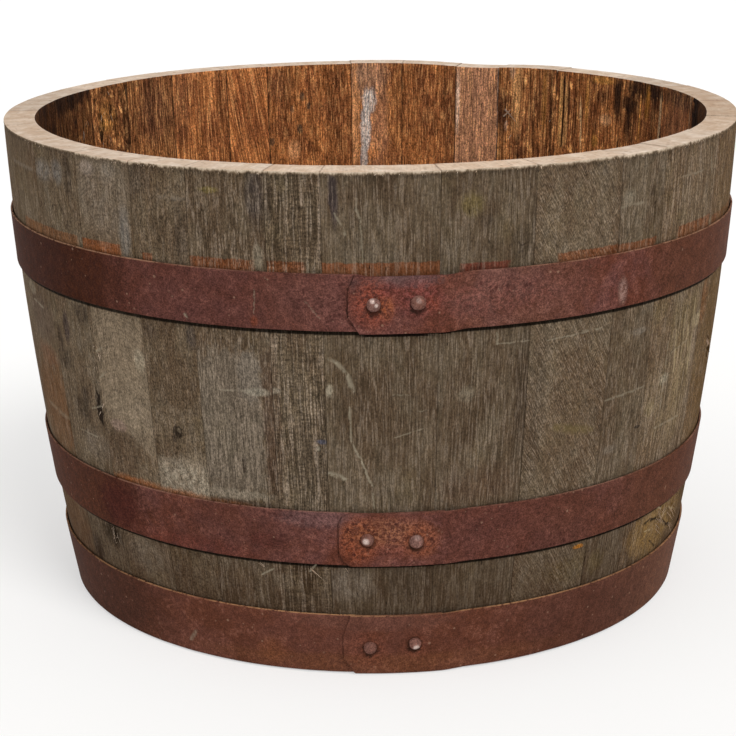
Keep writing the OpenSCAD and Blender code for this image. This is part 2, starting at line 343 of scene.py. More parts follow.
class Effects:
    """Shader node groups that the finishes share, each built once."""

    def __init__(self) -> None:
        """Builds every group."""
        self.trees = {"place": self.cask_place(), "grain": self.wood_grain(), "cloud": self.cloud_mask(),
                      "patch": self.patch_mask(), "scratch": self.scratch_mask(), "specks": self.speck_mask(),
                      "joint": self.joint_mask()}

    @staticmethod
    def start(name: str, takes: dict[str, object], gives: tuple[str, ...]) -> tuple[Wiring, dict, Callable]:
        """Starts a group.

        Args:
            name: the group's name.
            takes: input name to its usual value: a number, or None for a vector.
            gives: names of the outputs; "Place" is a vector, the others are values.

        Returns:
            The group's wiring, its inputs by name, and a function that feeds its outputs by name.
        """
        tree = bpy.data.node_groups.new(name, "ShaderNodeTree")
        for label, usual in takes.items():
            kind = "NodeSocketVector" if usual is None else "NodeSocketFloat"
            socket = tree.interface.new_socket(label, in_out="INPUT", socket_type=kind)
            if usual is not None:
                socket.default_value = usual
        for label in gives:
            kind = "NodeSocketVector" if label == "Place" else "NodeSocketFloat"
            tree.interface.new_socket(label, in_out="OUTPUT", socket_type=kind)
        wiring = Wiring(tree)
        inputs = {s.name: Signal(wiring, s) for s in tree.nodes.new("NodeGroupInput").outputs if s.name}
        end = tree.nodes.new("NodeGroupOutput")

        def finish(**values: Signal) -> bpy.types.NodeTree:
            """Feeds the outputs and returns the tree.

            Args:
                values: output name to its signal.

            Returns:
                The group's tree.
            """
            for label, value in values.items():
                wiring.feed(end.inputs[label], value)
            return tree

        return wiring, inputs, finish

    def cask_place(self) -> bpy.types.NodeTree:
        """Place on the cask: metres across from a middle turn, out from the axis, and up.

        Returns:
            The group's tree, with the place as a vector.
        """
        w, take, finish = self.start("cask_place", {"Middle": 0.0}, ("Place",))
        feeds = {"Vector": w.there(), "Angle": take["Middle"] * -1.0}
        x, y, z = w.split(w.result("ShaderNodeVectorRotate", feeds, rotation_type="Z_AXIS"))
        out = w.calc("SQRT", x * x + y * y)
        turn = w.calc("ARCTAN2", x, y * -1.0)
        return finish(Place=w.join(turn * out, out, z))

    def wood_grain(self) -> bpy.types.NodeTree:
        """Lines, strands, streaks and thin checks that run up the wood, or aslant.

        Returns:
            The group's tree, with a value from 0 to 1 for each kind of grain.
        """
        takes = {"Place": None, "Seed": 0.0, "Width": 0.001, "Length": 0.022, "Slant": 0.0, "Wave": 0.003}
        w, take, finish = self.start("wood_grain", takes, ("Lines", "Strands", "Streaks", "Checks"))
        across, out, up = w.split(take["Place"])
        drift = w.noise(w.join(across * 30.0, take["Seed"], up * 16.0), detail=3.0)
        bend = (drift - 0.5) * take["Wave"]
        side = across + up * take["Slant"] + bend

        def stretched(wider: float, longer: float, apart: float) -> Signal:
            """Place in units of a line's width and length, each made larger by a factor.

            Args:
                wider, longer: factors on a line's width and length.
                apart: what sets this layer's pattern apart.

            Returns:
                The place.
            """
            width = take["Width"] * wider
            length = take["Length"] * longer
            shift = take["Seed"] * (7.3 + apart)
            return w.join(side / width + shift, out / (width * 14.0), up / length)

        return finish(Lines=w.remap(w.noise(stretched(1.0, 1.0, 0.0), detail=2.5, rough=0.62), 0.34, 0.66),
                      Strands=w.remap(w.noise(stretched(2.4, 4.0, 1.0), detail=2.5, rough=0.6), 0.32, 0.68),
                      Streaks=w.remap(w.noise(stretched(9.0, 6.0, 2.0), detail=2.0), 0.32, 0.68),
                      Checks=w.remap(w.noise(stretched(1.7, 0.5, 3.0), detail=1.0), 0.27, 0.2))

    def cloud_mask(self) -> bpy.types.NodeTree:
        """Soft patches of a given size, longer up the piece by a stretch.

        Returns:
            The group's tree, with one mask from 0 to 1.
        """
        takes = {"Place": None, "Seed": 0.0, "Size": 0.03, "Stretch": 1.0}
        w, take, finish = self.start("cloud", takes, ("Mask",))
        across, out, up = w.split(take["Place"])
        tall = take["Size"] * take["Stretch"]
        place = w.join(across / take["Size"] + take["Seed"], out / take["Size"], up / tall)
        return finish(Mask=w.noise(place, detail=4.0, rough=0.68))

    def patch_mask(self) -> bpy.types.NodeTree:
        """One oval or square mark with a soft, ragged edge.

        Returns:
            The group's tree, with one mask from 0 to 1.
        """
        takes = {"Place": None, "Rag": 0.5, "Across": 0.0, "Up": 0.0, "Wide": 0.01, "High": 0.01,
                 "Slant": 0.0, "Soft": 0.4, "Ragged": 0.5, "Square": 0.0}
        w, take, finish = self.start("patch", takes, ("Mask",))
        across, _, up = w.split(take["Place"])
        rise = up - take["Up"]
        side = across - take["Across"] + rise * take["Slant"]
        x = w.calc("ABSOLUTE", side / take["Wide"])
        y = w.calc("ABSOLUTE", rise / take["High"])
        oval = w.calc("SQRT", x * x + y * y)
        box = w.calc("MAXIMUM", x, y)
        reach = (box - oval) * take["Square"] + oval
        torn = (take["Rag"] - 0.5) * take["Ragged"]
        edge = reach + torn * 3.0
        return finish(Mask=w.remap(edge, take["Soft"] + 1.0, 1.0 - take["Soft"]))

    def scratch_mask(self) -> bpy.types.NodeTree:
        """One thin straight line between two places.

        Returns:
            The group's tree, with one mask from 0 to 1.
        """
        takes = {"Place": None, "Rag": 0.5, "Across": 0.0, "Up": 0.0, "Run": 0.01, "Rise": 0.0,
                 "Wide": 0.0004}
        w, take, finish = self.start("scratch", takes, ("Mask",))
        across, _, up = w.split(take["Place"])
        wander = (take["Rag"] - 0.5) * 0.005
        x = across - take["Across"] + wander
        y = up - take["Up"] + wander
        run, rise = take["Run"], take["Rise"]
        length = run * run + rise * rise
        along = x * run + y * rise
        share = w.calc("MINIMUM", w.calc("MAXIMUM", along / length, 0.0), 1.0)
        dx = x - run * share
        dy = y - rise * share
        off = w.calc("SQRT", dx * dx + dy * dy)
        ends = w.calc("ABSOLUTE", share * 2.0 - 1.0)
        taper = w.calc("MINIMUM", 1.8 - ends * 1.1, 1.0)
        near = off / (take["Wide"] * taper)
        worn = w.remap(take["Rag"], 0.34, 0.54, 0.68)
        return finish(Mask=w.remap(near, 1.2, 0.1) * worn)

    def joint_mask(self) -> bpy.types.NodeTree:
        """Line along both joints of a stave that is half as wide as a given turn.

        Returns:
            The group's tree, with one mask from 0 to 1.
        """
        w, take, finish = self.start("joint", {"Place": None, "Rag": 0.5, "Half": 0.1}, ("Mask",))
        across, out, _ = w.split(take["Place"])
        gap = out * take["Half"] - w.calc("ABSOLUTE", across)
        return finish(Mask=w.remap(gap, 0.0013, 0.0003) * w.remap(take["Rag"], 0.62, 0.4, 1.0, 0.3))

    def speck_mask(self) -> bpy.types.NodeTree:
        """Scattered small round pits or specks of a given size.

        Returns:
            The group's tree, with one mask from 0 to 1.
        """
        takes = {"Place": None, "Seed": 0.0, "Size": 0.003, "Share": 0.4}
        w, take, finish = self.start("specks", takes, ("Mask",))
        shift = w.join(take["Seed"], 0.0, 0.0)
        scaled = w.result("ShaderNodeVectorMath", {0: take["Place"], 3: 1.0 / take["Size"]},
                          operation="SCALE")
        place = w.result("ShaderNodeVectorMath", {0: scaled, 1: shift}, operation="ADD")
        feeds = {"Vector": place, "Scale": 1.0, "Randomness": 1.0}
        cells = w.add("ShaderNodeTexVoronoi", feeds, feature="F1").outputs
        size_pick, share_pick, _ = w.split(Signal(w, cells["Color"]))
        dot = w.calc("MULTIPLY_ADD", size_pick, 0.3, 0.2) - Signal(w, cells["Distance"])
        chosen = w.remap(take["Share"] - share_pick, -0.02, 0.02)
        return finish(Mask=w.remap(dot, 0.0, 0.16) * chosen)


@dataclass(frozen=True)
class Seat:
    """Where a stave stands: its middle and half its width as turns in radians, and its pattern's number."""

    middle: float
    half: float
    seed: float


Started = tuple[bpy.types.Material, Wiring, bpy.types.Node]


def start_material(name: str, effects: Effects | None = None) -> Started:
    """An empty material with its shader.

    Args:
        name: the material's name.
        effects: the shared effects that it places.

    Returns:
        The material, its wiring and its Principled BSDF.
    """
    material = bpy.data.materials.new(name)
    material.use_nodes = True
    tree = material.node_tree
    tree.nodes.clear()
    wiring = Wiring(tree, effects)
    shader = wiring.add("ShaderNodeBsdfPrincipled", {})
    wiring.add("ShaderNodeOutputMaterial", {"Surface": Signal(wiring, shader.outputs[0])})
    return material, wiring, shader


# ---- Marks ----------------------------------------------------------------

PALE_WOOD = paint(156, 146, 126)
PALE_GRAIN = paint(208, 156, 100)
PALE_LINE = paint(146, 131, 116)
GREY_WOOD = paint(126, 116, 104)
BLUE_GREY = paint(108, 106, 102)
SILVER_WOOD = paint(128, 113, 94)
DARK_WOOD = paint(52, 41, 32)
DIM_WOOD = paint(72, 60, 50)
# Black for real soot, checks and joints, and also for painted shadows at the hoops' laps and under the
# rivets.
SOOT_AND_SHADOW = paint(30, 22, 17)
MOSS = paint(110, 96, 56)
RUST_STAIN = paint(116, 66, 38)
RED_STAIN = paint(104, 50, 38)
WARM_WOOD = paint(106, 74, 48)
TAN_WOOD = paint(166, 148, 116)


@dataclass(frozen=True)
class Patch:
    """A mark with a soft, ragged edge, in millimetres from the piece's middle and from the ground."""

    across: float
    up: float
    wide: float
    high: float
    colour: Colour
    strength: float = 0.6
    broken: float = 0.0
    soft: float = 0.4
    ragged: float = 0.5
    slant: float = 0.0
    square: float = 0.0

    def share(self, w: Wiring, place: Signal, rag: Signal) -> Signal:
        """Share of the mark at a place, broken up by the noise that also frays its edge.

        Args:
            w: the material's wiring.
            place: place on the cask.
            rag: noise that frays edges.

        Returns:
            The share, from 0 to 1.
        """
        mask = w.mask("patch", place, Rag=rag, Across=self.across * MM, Up=self.up * MM,
                      Wide=self.wide * MM, High=self.high * MM, Slant=self.slant, Soft=self.soft,
                      Ragged=self.ragged, Square=self.square)
        if self.broken:
            mask = mask * w.remap(rag, 0.42, 0.58, 1.0, 1 - self.broken)
        return mask * self.strength

    def lay(self, w: Wiring, place: Signal, rag: Signal, under: Signal) -> Signal:
        """Colour with the mark over what is under it."""
        return w.blend(self.share(w, place, rag), under, self.colour)


@dataclass(frozen=True)
class Scratch:
    """A thin line from one place to another, in millimetres."""

    across: float
    up: float
    end_across: float
    end_up: float
    wide: float = 0.7
    strength: float = 0.6
    colour: Colour = PALE_WOOD

    def lay(self, w: Wiring, place: Signal, rag: Signal, under: Signal) -> Signal:
        """Colour with the line over what is under it.

        Args:
            w: the material's wiring.
            place: place on the cask.
            rag: noise that frays edges.
            under: the colour under it.

        Returns:
            The colour with the line.
        """
        mask = w.mask("scratch", place, Rag=rag, Across=self.across * MM, Up=self.up * MM,
                      Run=(self.end_across - self.across) * MM, Rise=(self.end_up - self.up) * MM,
                      Wide=self.wide * MM)
        return w.blend(mask * self.strength, under, self.colour)


Mark = Patch | Scratch


def laid(marks: tuple[Mark, ...], kind: type, w: Wiring, place: Signal, rag: Signal,
         colour: Signal) -> Signal:
    """Colour with every mark of one kind over it.

    Args:
        marks: a finish's marks.
        kind: Patch or Scratch.
        w: the material's wiring.
        place: place on the cask.
        rag: noise that frays edges.
        colour: the colour under them.

    Returns:
        The colour with those marks.
    """
    for mark in marks:
        if isinstance(mark, kind):
            colour = mark.lay(w, place, rag, colour)
    return colour


def rust_stain(left: float, right: float, top: float = 360.6, colour: Colour = RUST_STAIN,
               strength: float = 0.85) -> Patch:
    """Stain that the upper hoop left on a stave just above its present seat.

    Args:
        left, right: ends in millimetres across from the stave's middle.
        top: height of its upper edge.
        colour: its colour.
        strength: how much it covers.

    Returns:
        The stain as a patch that runs on behind the hoop.
    """
    foot = 346.0
    return Patch((left + right) / 2, (foot + top) / 2, (right - left) / 2, (top - foot) / 2, colour, strength,
                 0.2, soft=0.1, ragged=0.22, square=1.0)


# ---- Finishes -------------------------------------------------------------


@dataclass(frozen=True)
class WeatheredOak:
    """Grey-brown outside of a stave that has stood out of doors."""

    tone: float = 1.0
    warmth: float = 0.0
    lines: float = 1.0
    slant: float = 0.0
    wave: float = 0.003
    width: float = 0.0012
    length: float = 0.013
    grit: float = 1.0
    hatch: float = 0.0
    ripple: float = 0.0
    lichen: float = 0.3
    moss: float = 0.14
    tear: float = 1.2
    joint: float = 0.05
    marks: tuple[Mark, ...] = ()

    def material(self, name: str, effects: Effects, seat: Seat, height: float) -> bpy.types.Material:
        """Builds the finish.

        Args:
            name: the material's name.
            effects: the shared node groups.
            seat: where the stave stands.
            height: the cask's height.

        Returns:
            The material.
        """
        material, w, shader = start_material(name, effects)
        place, seed = w.effect("place", Middle=seat.middle)["Place"], seat.seed
        grain = w.effect("grain", Place=place, Seed=seed, Width=self.width, Length=self.length,
                         Slant=self.slant, Wave=self.wave)
        rag = w.cloud(place, seed + 5, 0.006, 1.6)
        colour = self.weathered(w, place, rag, seed)
        colour = laid(self.marks, Patch, w, place, rag, colour)
        colour = self.grained(w, place, grain, colour, seed)
        colour = laid(self.marks, Scratch, w, place, rag, colour)
        colour = w.blend(grain["Checks"] * 0.8, colour, SOOT_AND_SHADOW)
        joint = w.mask("joint", place, Rag=rag, Half=seat.half)
        colour = w.blend(joint * self.joint, colour, SOOT_AND_SHADOW)
        colour = self.sawn_edge(w, place, rag, colour, seed, height)
        relief = grain["Lines"] * (0.5 * self.lines) + grain["Strands"] * 0.7 - grain["Checks"] * 0.8
        w.dress(shader, colour, rag * 0.2 + 0.7, relief, (0.5, 0.0008), 0.02)
        return material

    def weathered(self, w: Wiring, place: Signal, rag: Signal, seed: float) -> Signal:
        """Colour of the weathered surface without its grain: brown, olive and grey areas.

        Args:
            w: the material's wiring.
            place: place on the cask.
            rag: noise that frays edges.
            seed: number of the stave's pattern.

        Returns:
            The colour.
        """
        broad = w.cloud(place, seed, 0.03, 2.6)
        green = w.cloud(place, seed + 11, 0.05, 1.5)
        brown, olive, grey = (tinted(c, self.tone, self.warmth) for c in (
            paint(91, 74, 57), paint(101, 86, 68), paint(118, 106, 91)))
        colour = w.blend(w.remap(broad, 0.36, 0.6), brown, olive)
        worn = w.remap(rag, 0.4, 0.66) * w.remap(broad, 0.44, 0.7, self.lichen + 0.2)
        colour = w.blend(worn, colour, grey)
        return w.blend(w.remap(green, 0.5, 0.75, self.moss), colour, MOSS)

    def grained(self, w: Wiring, place: Signal, grain: dict[str, Signal], under: Signal,
                seed: float) -> Signal:
        """The grain's light and dark over a colour, darker towards the ground, with painted shadow lines
        under the middle and upper hoops.

        Args:
            w: the material's wiring.
            place: place on the cask.
            grain: outputs of the grain effect.
            under: the colour under it.
            seed: number of the stave's pattern.

        Returns:
            The colour.
        """
        across, _, up = w.split(place)
        mottle = w.cloud(place, seed + 2, 0.0045, 1.5)
        grit = w.cloud(place, seed + 8, 0.0011, 1.8)
        clear = w.cloud(place, seed + 17, 0.024, 2.5)
        dim = w.remap(grain["Lines"], 0.3, 1.0, 1 - 0.34 * self.lines, 1.06) - 1.0
        shown = w.remap(clear, 0.36, 0.6, 1.1, 0.6)
        pale = w.remap(grain["Lines"], 0.5, 0.0, 0.38 * self.lines) * shown
        pale = w.off_dark(pale, under, 0.008, 0.035)
        colour = w.toned(
            w.blend(pale, under, tinted(PALE_LINE, self.tone)),
            w.calc("MULTIPLY_ADD", dim, shown, 1.0),
            w.remap(grain["Strands"], 0.0, 1.0, 1 + 0.08 * self.lines, 1 - 0.1 * self.lines),
            w.remap(grain["Streaks"], 0.0, 1.0, 1.05, 0.95),
            w.remap(mottle, 0.3, 0.7, 1 + 0.12 * self.grit, 1 - 0.13 * self.grit),
            w.remap(grit, 0.3, 0.7, 1 + 0.36 * self.grit, 1 - 0.4 * self.grit),
        )
        colour = w.blend(w.remap(up, 0.17, 0.05, 0.4), colour, paint(46, 26, 12))
        # Painted shadow: a thin dark line just below the lower edge of the middle and upper hoops.
        for foot in (MIDDLE_FOOT, UPPER_FOOT):
            hoop_shadow_gap = w.calc("ABSOLUTE", up - (foot - 0.0019))
            colour = w.toned(colour, w.remap(hoop_shadow_gap, 0.001, 0.0023, 1.0, 0.12))
        if self.hatch:
            rows = w.noise(w.join(across / 0.007, seed, up / 0.0017), detail=1.5)
            colour = w.toned(colour, w.remap(rows, 0.36, 0.64, 1 + self.hatch, 1 - 0.6 * self.hatch))
        if self.ripple:
            bowed = up + across * across * 14.0
            rows = w.noise(w.join(across / 0.016, seed, bowed / 0.0013), detail=1.0)
            colour = w.toned(colour, w.remap(rows, 0.36, 0.64, 1 + self.ripple, 1 - 0.7 * self.ripple))
        return colour

    def sawn_edge(self, w: Wiring, place: Signal, rag: Signal, under: Signal, seed: float,
                  height: float) -> Signal:
        """Torn pale fibres along the sawn rim, with a painted shadow under them, over the colour under them.

        Args:
            w: the material's wiring.
            place: place on the cask.
            rag: noise that frays edges.
            under: the colour under it.
            seed: number of the stave's pattern.
            height: the cask's height.

        Returns:
            The colour.
        """
        across, _, up = w.split(place)
        fibres = w.noise(w.join(across / 0.0015, seed, up / 0.005), detail=3.0)
        torn = (fibres - 0.5) * 2.0 + (rag - 0.5) * 5.0
        past = height - up - (torn + 1.4) * (self.tear * MM)
        # Painted shadow: a dark band below the torn edge of the rim.
        colour = w.toned(under, w.remap(past, 0.0, 0.007, 1.0, 0.62))
        colour = w.blend(w.remap(past, 0.0024, 0.0, 0.5), colour, paint(150, 128, 104))
        return w.blend(w.remap(past, 0.0012, -0.0012, 0.85), colour, paint(214, 195, 172))


@dataclass(frozen=True)
class SawnOak:
    """Pale end grain of the rim, where the cask was sawn through."""

    tone: float = 1.0
    pink: float = 0.0

    def material(self, name: str, effects: Effects, seat: Seat) -> bpy.types.Material:
        """Builds the finish for a stave that stands at a seat.

        Args:
            name: the material's name.
            effects: the shared node groups.
            seat: where the stave stands.

        Returns:
            The material.
        """
        material, w, shader = start_material(name, effects)
        place, seed = w.effect("place", Middle=seat.middle)["Place"], seat.seed
        across, out, _ = w.split(place)
        rays = w.noise(w.join(across / 0.0016, out / 0.02, seed), detail=3.0)
        rings = w.noise(w.join(across / 0.03, out / 0.0022, seed), detail=2.0)
        broad = w.cloud(place, seed, 0.016)
        body = tinted(paint(218, 198, 178), self.tone, self.pink)
        dim = tinted(paint(200, 174, 150), self.tone, self.pink)
        colour = w.blend(w.remap(broad, 0.38, 0.64), dim, body)
        colour = w.blend(w.remap(broad, 0.6, 0.74, 0.5), colour, paint(240, 226, 210))
        colour = w.toned(colour, w.remap(rays, 0.34, 0.7, 0.9, 1.05), w.remap(rings, 0.34, 0.68, 1.02, 0.97))
        specks = w.mask("specks", place, Seed=seed, Size=0.0042, Share=0.2)
        colour = w.blend(specks * 0.4, colour, paint(120, 84, 66))
        joint = w.mask("joint", place, Rag=broad, Half=seat.half)
        colour = w.blend(joint * 0.6, colour, paint(104, 76, 62))
        relief = rays * 0.5 + rings * 0.4
        w.dress(shader, colour, broad * 0.15 + 0.74, relief, (0.4, 0.0008), 0.15)
        return material


@dataclass(frozen=True)
class CaskInside:
    """Orange-brown, rough inside of a stave, stained by what the cask held."""

    tone: float = 1.0
    warmth: float = 0.0
    lines: float = 1.0
    slant: float = 0.0
    width: float = 0.00125
    length: float = 0.016
    scales: float = 0.35
    soot: float = 0.3
    gold: float = 0.25
    marks: tuple[Mark, ...] = ()

    def material(self, name: str, effects: Effects, seat: Seat) -> bpy.types.Material:
        """Builds the finish for a stave that stands at a seat.

        Args:
            name: the material's name.
            effects: the shared node groups.
            seat: where the stave stands.

        Returns:
            The material.
        """
        material, w, shader = start_material(name, effects)
        place, seed = w.effect("place", Middle=seat.middle)["Place"], seat.seed
        up = w.split(place)[2]
        grain = w.effect("grain", Place=place, Seed=seed, Width=self.width, Length=self.length,
                         Slant=self.slant, Wave=0.004)
        broad = w.cloud(place, seed, 0.022, 1.7)
        rag = w.cloud(place, seed + 3, 0.006, 1.8)
        grit = w.cloud(place, seed + 8, 0.0013, 1.5)
        brown, mid, gold = (tinted(c, self.tone, self.warmth) for c in (
            paint(128, 78, 48), paint(160, 102, 60), paint(224, 168, 106)))
        colour = w.blend(w.remap(broad, 0.36, 0.62), brown, mid)
        golden = w.remap(rag, 0.54, 0.68) * w.remap(grain["Strands"], 0.3, 0.8, self.gold)
        colour = w.blend(golden, colour, gold)
        colour = laid(self.marks, Patch, w, place, rag, colour)
        rough = w.remap(up, 0.345, 0.27, 0.4, 1.0)
        pale = w.remap(grain["Lines"], 0.42, 0.0, 0.42 * self.lines) * rough
        fine = w.toned(
            w.remap(grain["Lines"], 0.3, 1.0, 1 - 0.58 * self.lines, 1.14),
            w.remap(rag, 0.3, 0.68, 1 + 0.3 * self.scales, 1 - 0.5 * self.scales),
            w.remap(grit, 0.32, 0.68, 1.62, 0.38),
        )
        pale = w.off_dark(pale, colour, 0.015, 0.08)
        colour = w.toned(
            w.blend(pale, colour, tinted(PALE_GRAIN, self.tone)),
            w.blend(rough, (0.86, 0.86, 0.86), fine),
            w.remap(grain["Strands"], 0.0, 1.0, 1.14, 0.84),
            w.remap(grain["Streaks"], 0.0, 1.0, 1.14, 0.86),
        )
        colour = w.blend(w.remap(up, 0.16, 0.05, 0.5), colour, paint(70, 44, 30))
        colour = w.blend(w.remap(broad, 0.46, 0.32) * w.remap(rag, 0.6, 0.4, self.soot), colour, SOOT_AND_SHADOW)
        colour = laid(self.marks, Scratch, w, place, rag, colour)
        joint = w.mask("joint", place, Rag=rag, Half=seat.half)
        dark = w.calc("MAXIMUM", grain["Checks"] * 0.8, joint * 0.75)
        colour = w.blend(dark, colour, SOOT_AND_SHADOW)
        relief = grain["Strands"] * 0.6 + rag * 0.9 + grain["Lines"] * 0.4
        w.dress(shader, colour, 0.82 - broad * 0.24, relief, (0.6, 0.0012), 0.05)
        return material


@dataclass(frozen=True)
class HeadOak:
    """Oak of the head boards, stained and water-marked, with its grain along X."""

    tone: float = 1.0
    warmth: float = 0.0

    def material(self, name: str, effects: Effects, seed: float,
                 joints: tuple[float, ...] = ()) -> bpy.types.Material:
        """Builds the finish, with a dark line along joints at those places on Y.

        Args:
            name: the material's name.
            effects: the shared node groups.
            seed: number of the board's pattern.
            joints: places on Y that get a dark line.

        Returns:
            The material.
        """
        material, w, shader = start_material(name, effects)
        x, y, z = w.split(w.there())
        place = w.join(y, z, x)
        grain = w.effect("grain", Place=place, Seed=seed, Width=0.0016, Length=0.15, Wave=0.012)
        broad = w.cloud(place, seed, 0.045, 1.8)
        deep = tinted(paint(60, 38, 25), self.tone, self.warmth)
        mid = tinted(paint(124, 86, 54), self.tone, self.warmth)
        colour = w.blend(w.remap(broad, 0.32, 0.66), tinted(mid, 0.62), mid)
        tide = w.calc("ABSOLUTE", broad - 0.52)
        colour = w.blend(w.remap(tide, 0.03, 0.0, 0.4), colour, deep)
        colour = w.toned(colour, w.remap(grain["Lines"], 0.0, 1.0, 1.4, 0.6),
                         w.remap(grain["Strands"], 0.0, 1.0, 1.2, 0.75),
                         w.remap(grain["Streaks"], 0.0, 1.0, 1.2, 0.75))
        colour = w.blend(grain["Checks"] * 0.85, colour, SOOT_AND_SHADOW)
        for joint in joints:
            gap = w.calc("ABSOLUTE", y - joint)
            colour = w.blend(w.remap(gap, 0.0022, 0.0006, 0.75), colour, SOOT_AND_SHADOW)
        relief = grain["Strands"] * 0.8 - grain["Checks"]
        w.dress(shader, colour, 0.84 - broad * 0.22, relief, (0.6, 0.0012), 0.3)
        return material


@dataclass(frozen=True)
class RustedIron:
    """Hoop iron with an old purple-brown skin, mottled, pitted and freshly rusted at its marks; it also
    paints shade, shadows and highlights.
    """

    body: Colour = paint(101, 64, 58)
    warm: Colour = paint(92, 52, 40)
    crust: Colour = paint(150, 106, 92)
    dark: Colour = paint(52, 26, 24)
    edge_rust_and_highlight: Colour = paint(178, 138, 108)
    contrast: float = 1.0
    pitted: float = 0.6
    edge_middle: float = 0.1
    marks: tuple[Mark, ...] = ()
    fresh: tuple[Patch, ...] = ()
    glints: tuple[Patch, ...] = ()
    # Places of the rivets on this piece; a painted shadow is laid below each.
    rivets: tuple[tuple[float, float], ...] = ()

    def material(self, name: str, effects: Effects, seed: float,
                 edge: Callable[[Wiring, Signal], Signal] | None = None) -> bpy.types.Material:
        """Builds the finish.

        Args:
            name: the material's name.
            effects: the shared node groups.
            seed: number that sets this piece's pattern apart.
            edge: gives the share of the pale line along the piece's upper edge, partly rust and partly
                painted highlight.

        Returns:
            The material.
        """
        material, w, shader = start_material(name, effects)
        place = w.effect("place", Middle=0.0)["Place"]
        there = w.there()
        broad, blotch, mottle, grit = (w.cloud(there, seed + k, size)
                                       for k, size in enumerate((0.045, 0.012, 0.0034, 0.0012)))
        colour = w.blend(w.remap(broad, 0.36, 0.64), self.warm, self.body)
        colour = w.blend(w.remap(blotch, 0.5, 0.64) * w.remap(mottle, 0.44, 0.6, 0.16), colour, self.crust)
        colour = laid(self.marks, Patch, w, place, mottle, colour)
        colour = w.toned(
            colour,
            w.remap(blotch, 0.34, 0.66, 1 + 0.12 * self.contrast, 1 - 0.16 * self.contrast),
            w.remap(mottle, 0.32, 0.68, 1 + 0.2 * self.contrast, 1 - 0.22 * self.contrast),
            w.remap(grit, 0.32, 0.68, 1 + 0.44 * self.contrast, 1 - 0.42 * self.contrast),
        )
        pits = w.mask("specks", there, Seed=seed, Size=0.0045, Share=0.85)
        share = w.remap(broad, 0.44, 0.66, self.pitted)
        for spot in self.fresh:
            mask = spot.share(w, place, mottle)
            lit = w.toned(w.blend(w.remap(grit, 0.42, 0.58), spot.colour, tinted(spot.colour, 2.3, -0.2)),
                          w.remap(mottle, 0.34, 0.62, 1.25, 0.5))
            colour = w.blend(mask, colour, lit)
            share = w.calc("MAXIMUM", share, mask)
        colour = w.blend(pits * share, colour, self.dark)
        # Painted shadow below each rivet head.
        for turn, up in self.rivets:
            rivet_shadow = Patch(turn, up - 3.2, 6.3, 7.2, SOOT_AND_SHADOW, 0.75, soft=0.25, ragged=0.2)
            colour = rivet_shadow.lay(w, place, mottle, colour)
        specks = w.mask("specks", there, Seed=seed + 9, Size=0.003, Share=0.02)
        colour = w.blend(specks * 0.4, colour, paint(168, 134, 112))
        colour = laid(self.marks, Scratch, w, place, mottle, colour)
        # Pale line along the upper edge: rust, with a painted highlight where the edge faces up.
        if edge:
            worn = w.remap(mottle, 0.36, 0.5) * w.remap(broad, 0.34, 0.52, 0.8, 0.15)
            aside = w.calc("ABSOLUTE", w.split(place)[0])
            worn = worn * w.remap(aside, 0.09, 0.2, 0.65, self.edge_middle)
            colour = w.blend(edge(w, there) * worn, colour, self.edge_rust_and_highlight)
        rough = mottle * 0.3 + 0.5
        metal = w.remap(mottle, 0.4, 0.6, 0.03)
        # Painted highlights on the rivet heads, where the iron is also made smoother and more metallic.
        for spot in self.glints:
            mask = spot.share(w, place, grit)
            colour = w.blend(mask, colour, spot.colour)
            rough = rough - mask * 0.35
            metal = w.calc("MAXIMUM", metal, mask * 0.6)
        relief = mottle * 0.9 + grit * 0.3
        w.feed(shader.inputs["Metallic"], metal)
        w.dress(shader, colour, rough, relief, (0.4, 0.0008), 0.02)
        return material


# ---- Mesh helpers ---------------------------------------------------------


class Shape(NamedTuple):
    """Corners and faces of a mesh, with each face's material number."""

    corners: np.ndarray
    faces: list[tuple[int, ...]]
    zones: list[int]


def placing(columns: tuple[np.ndarray, np.ndarray, np.ndarray], place: tuple[float, float, float]) -> Matrix:
    """Matrix of an object whose axes and place are given.

    Args:
        columns: its X, Y and Z axes in the scene.
        place: its origin.

    Returns:
        The matrix.
    """
    rows = [[*(float(axis[row]) for axis in columns), place[row]] for row in range(3)]
    return Matrix((*rows, (0.0, 0.0, 0.0, 1.0)))


def shown(name: str, data: bpy.types.ID) -> bpy.types.Object:
    """A new object of the scene that shows a mesh, a lamp or a camera.

    Args:
        name: the object's name.
        data: what it shows.

    Returns:
        The object.
    """
    thing = bpy.data.objects.new(name, data)
    bpy.context.scene.collection.objects.link(thing)
    return thing


def merged(shapes: list[Shape]) -> Shape:
    """Several shapes as one.

    Args:
        shapes: the shapes.

    Returns:
        One shape with all their corners and faces.
    """
    corners, faces, zones, start = [], [], [], 0
    for shape in shapes:
        corners.append(shape.corners)
        faces += [tuple(start + c for c in face) for face in shape.faces]
        zones += shape.zones
        start += len(shape.corners)
    return Shape(np.concatenate(corners), faces, zones)


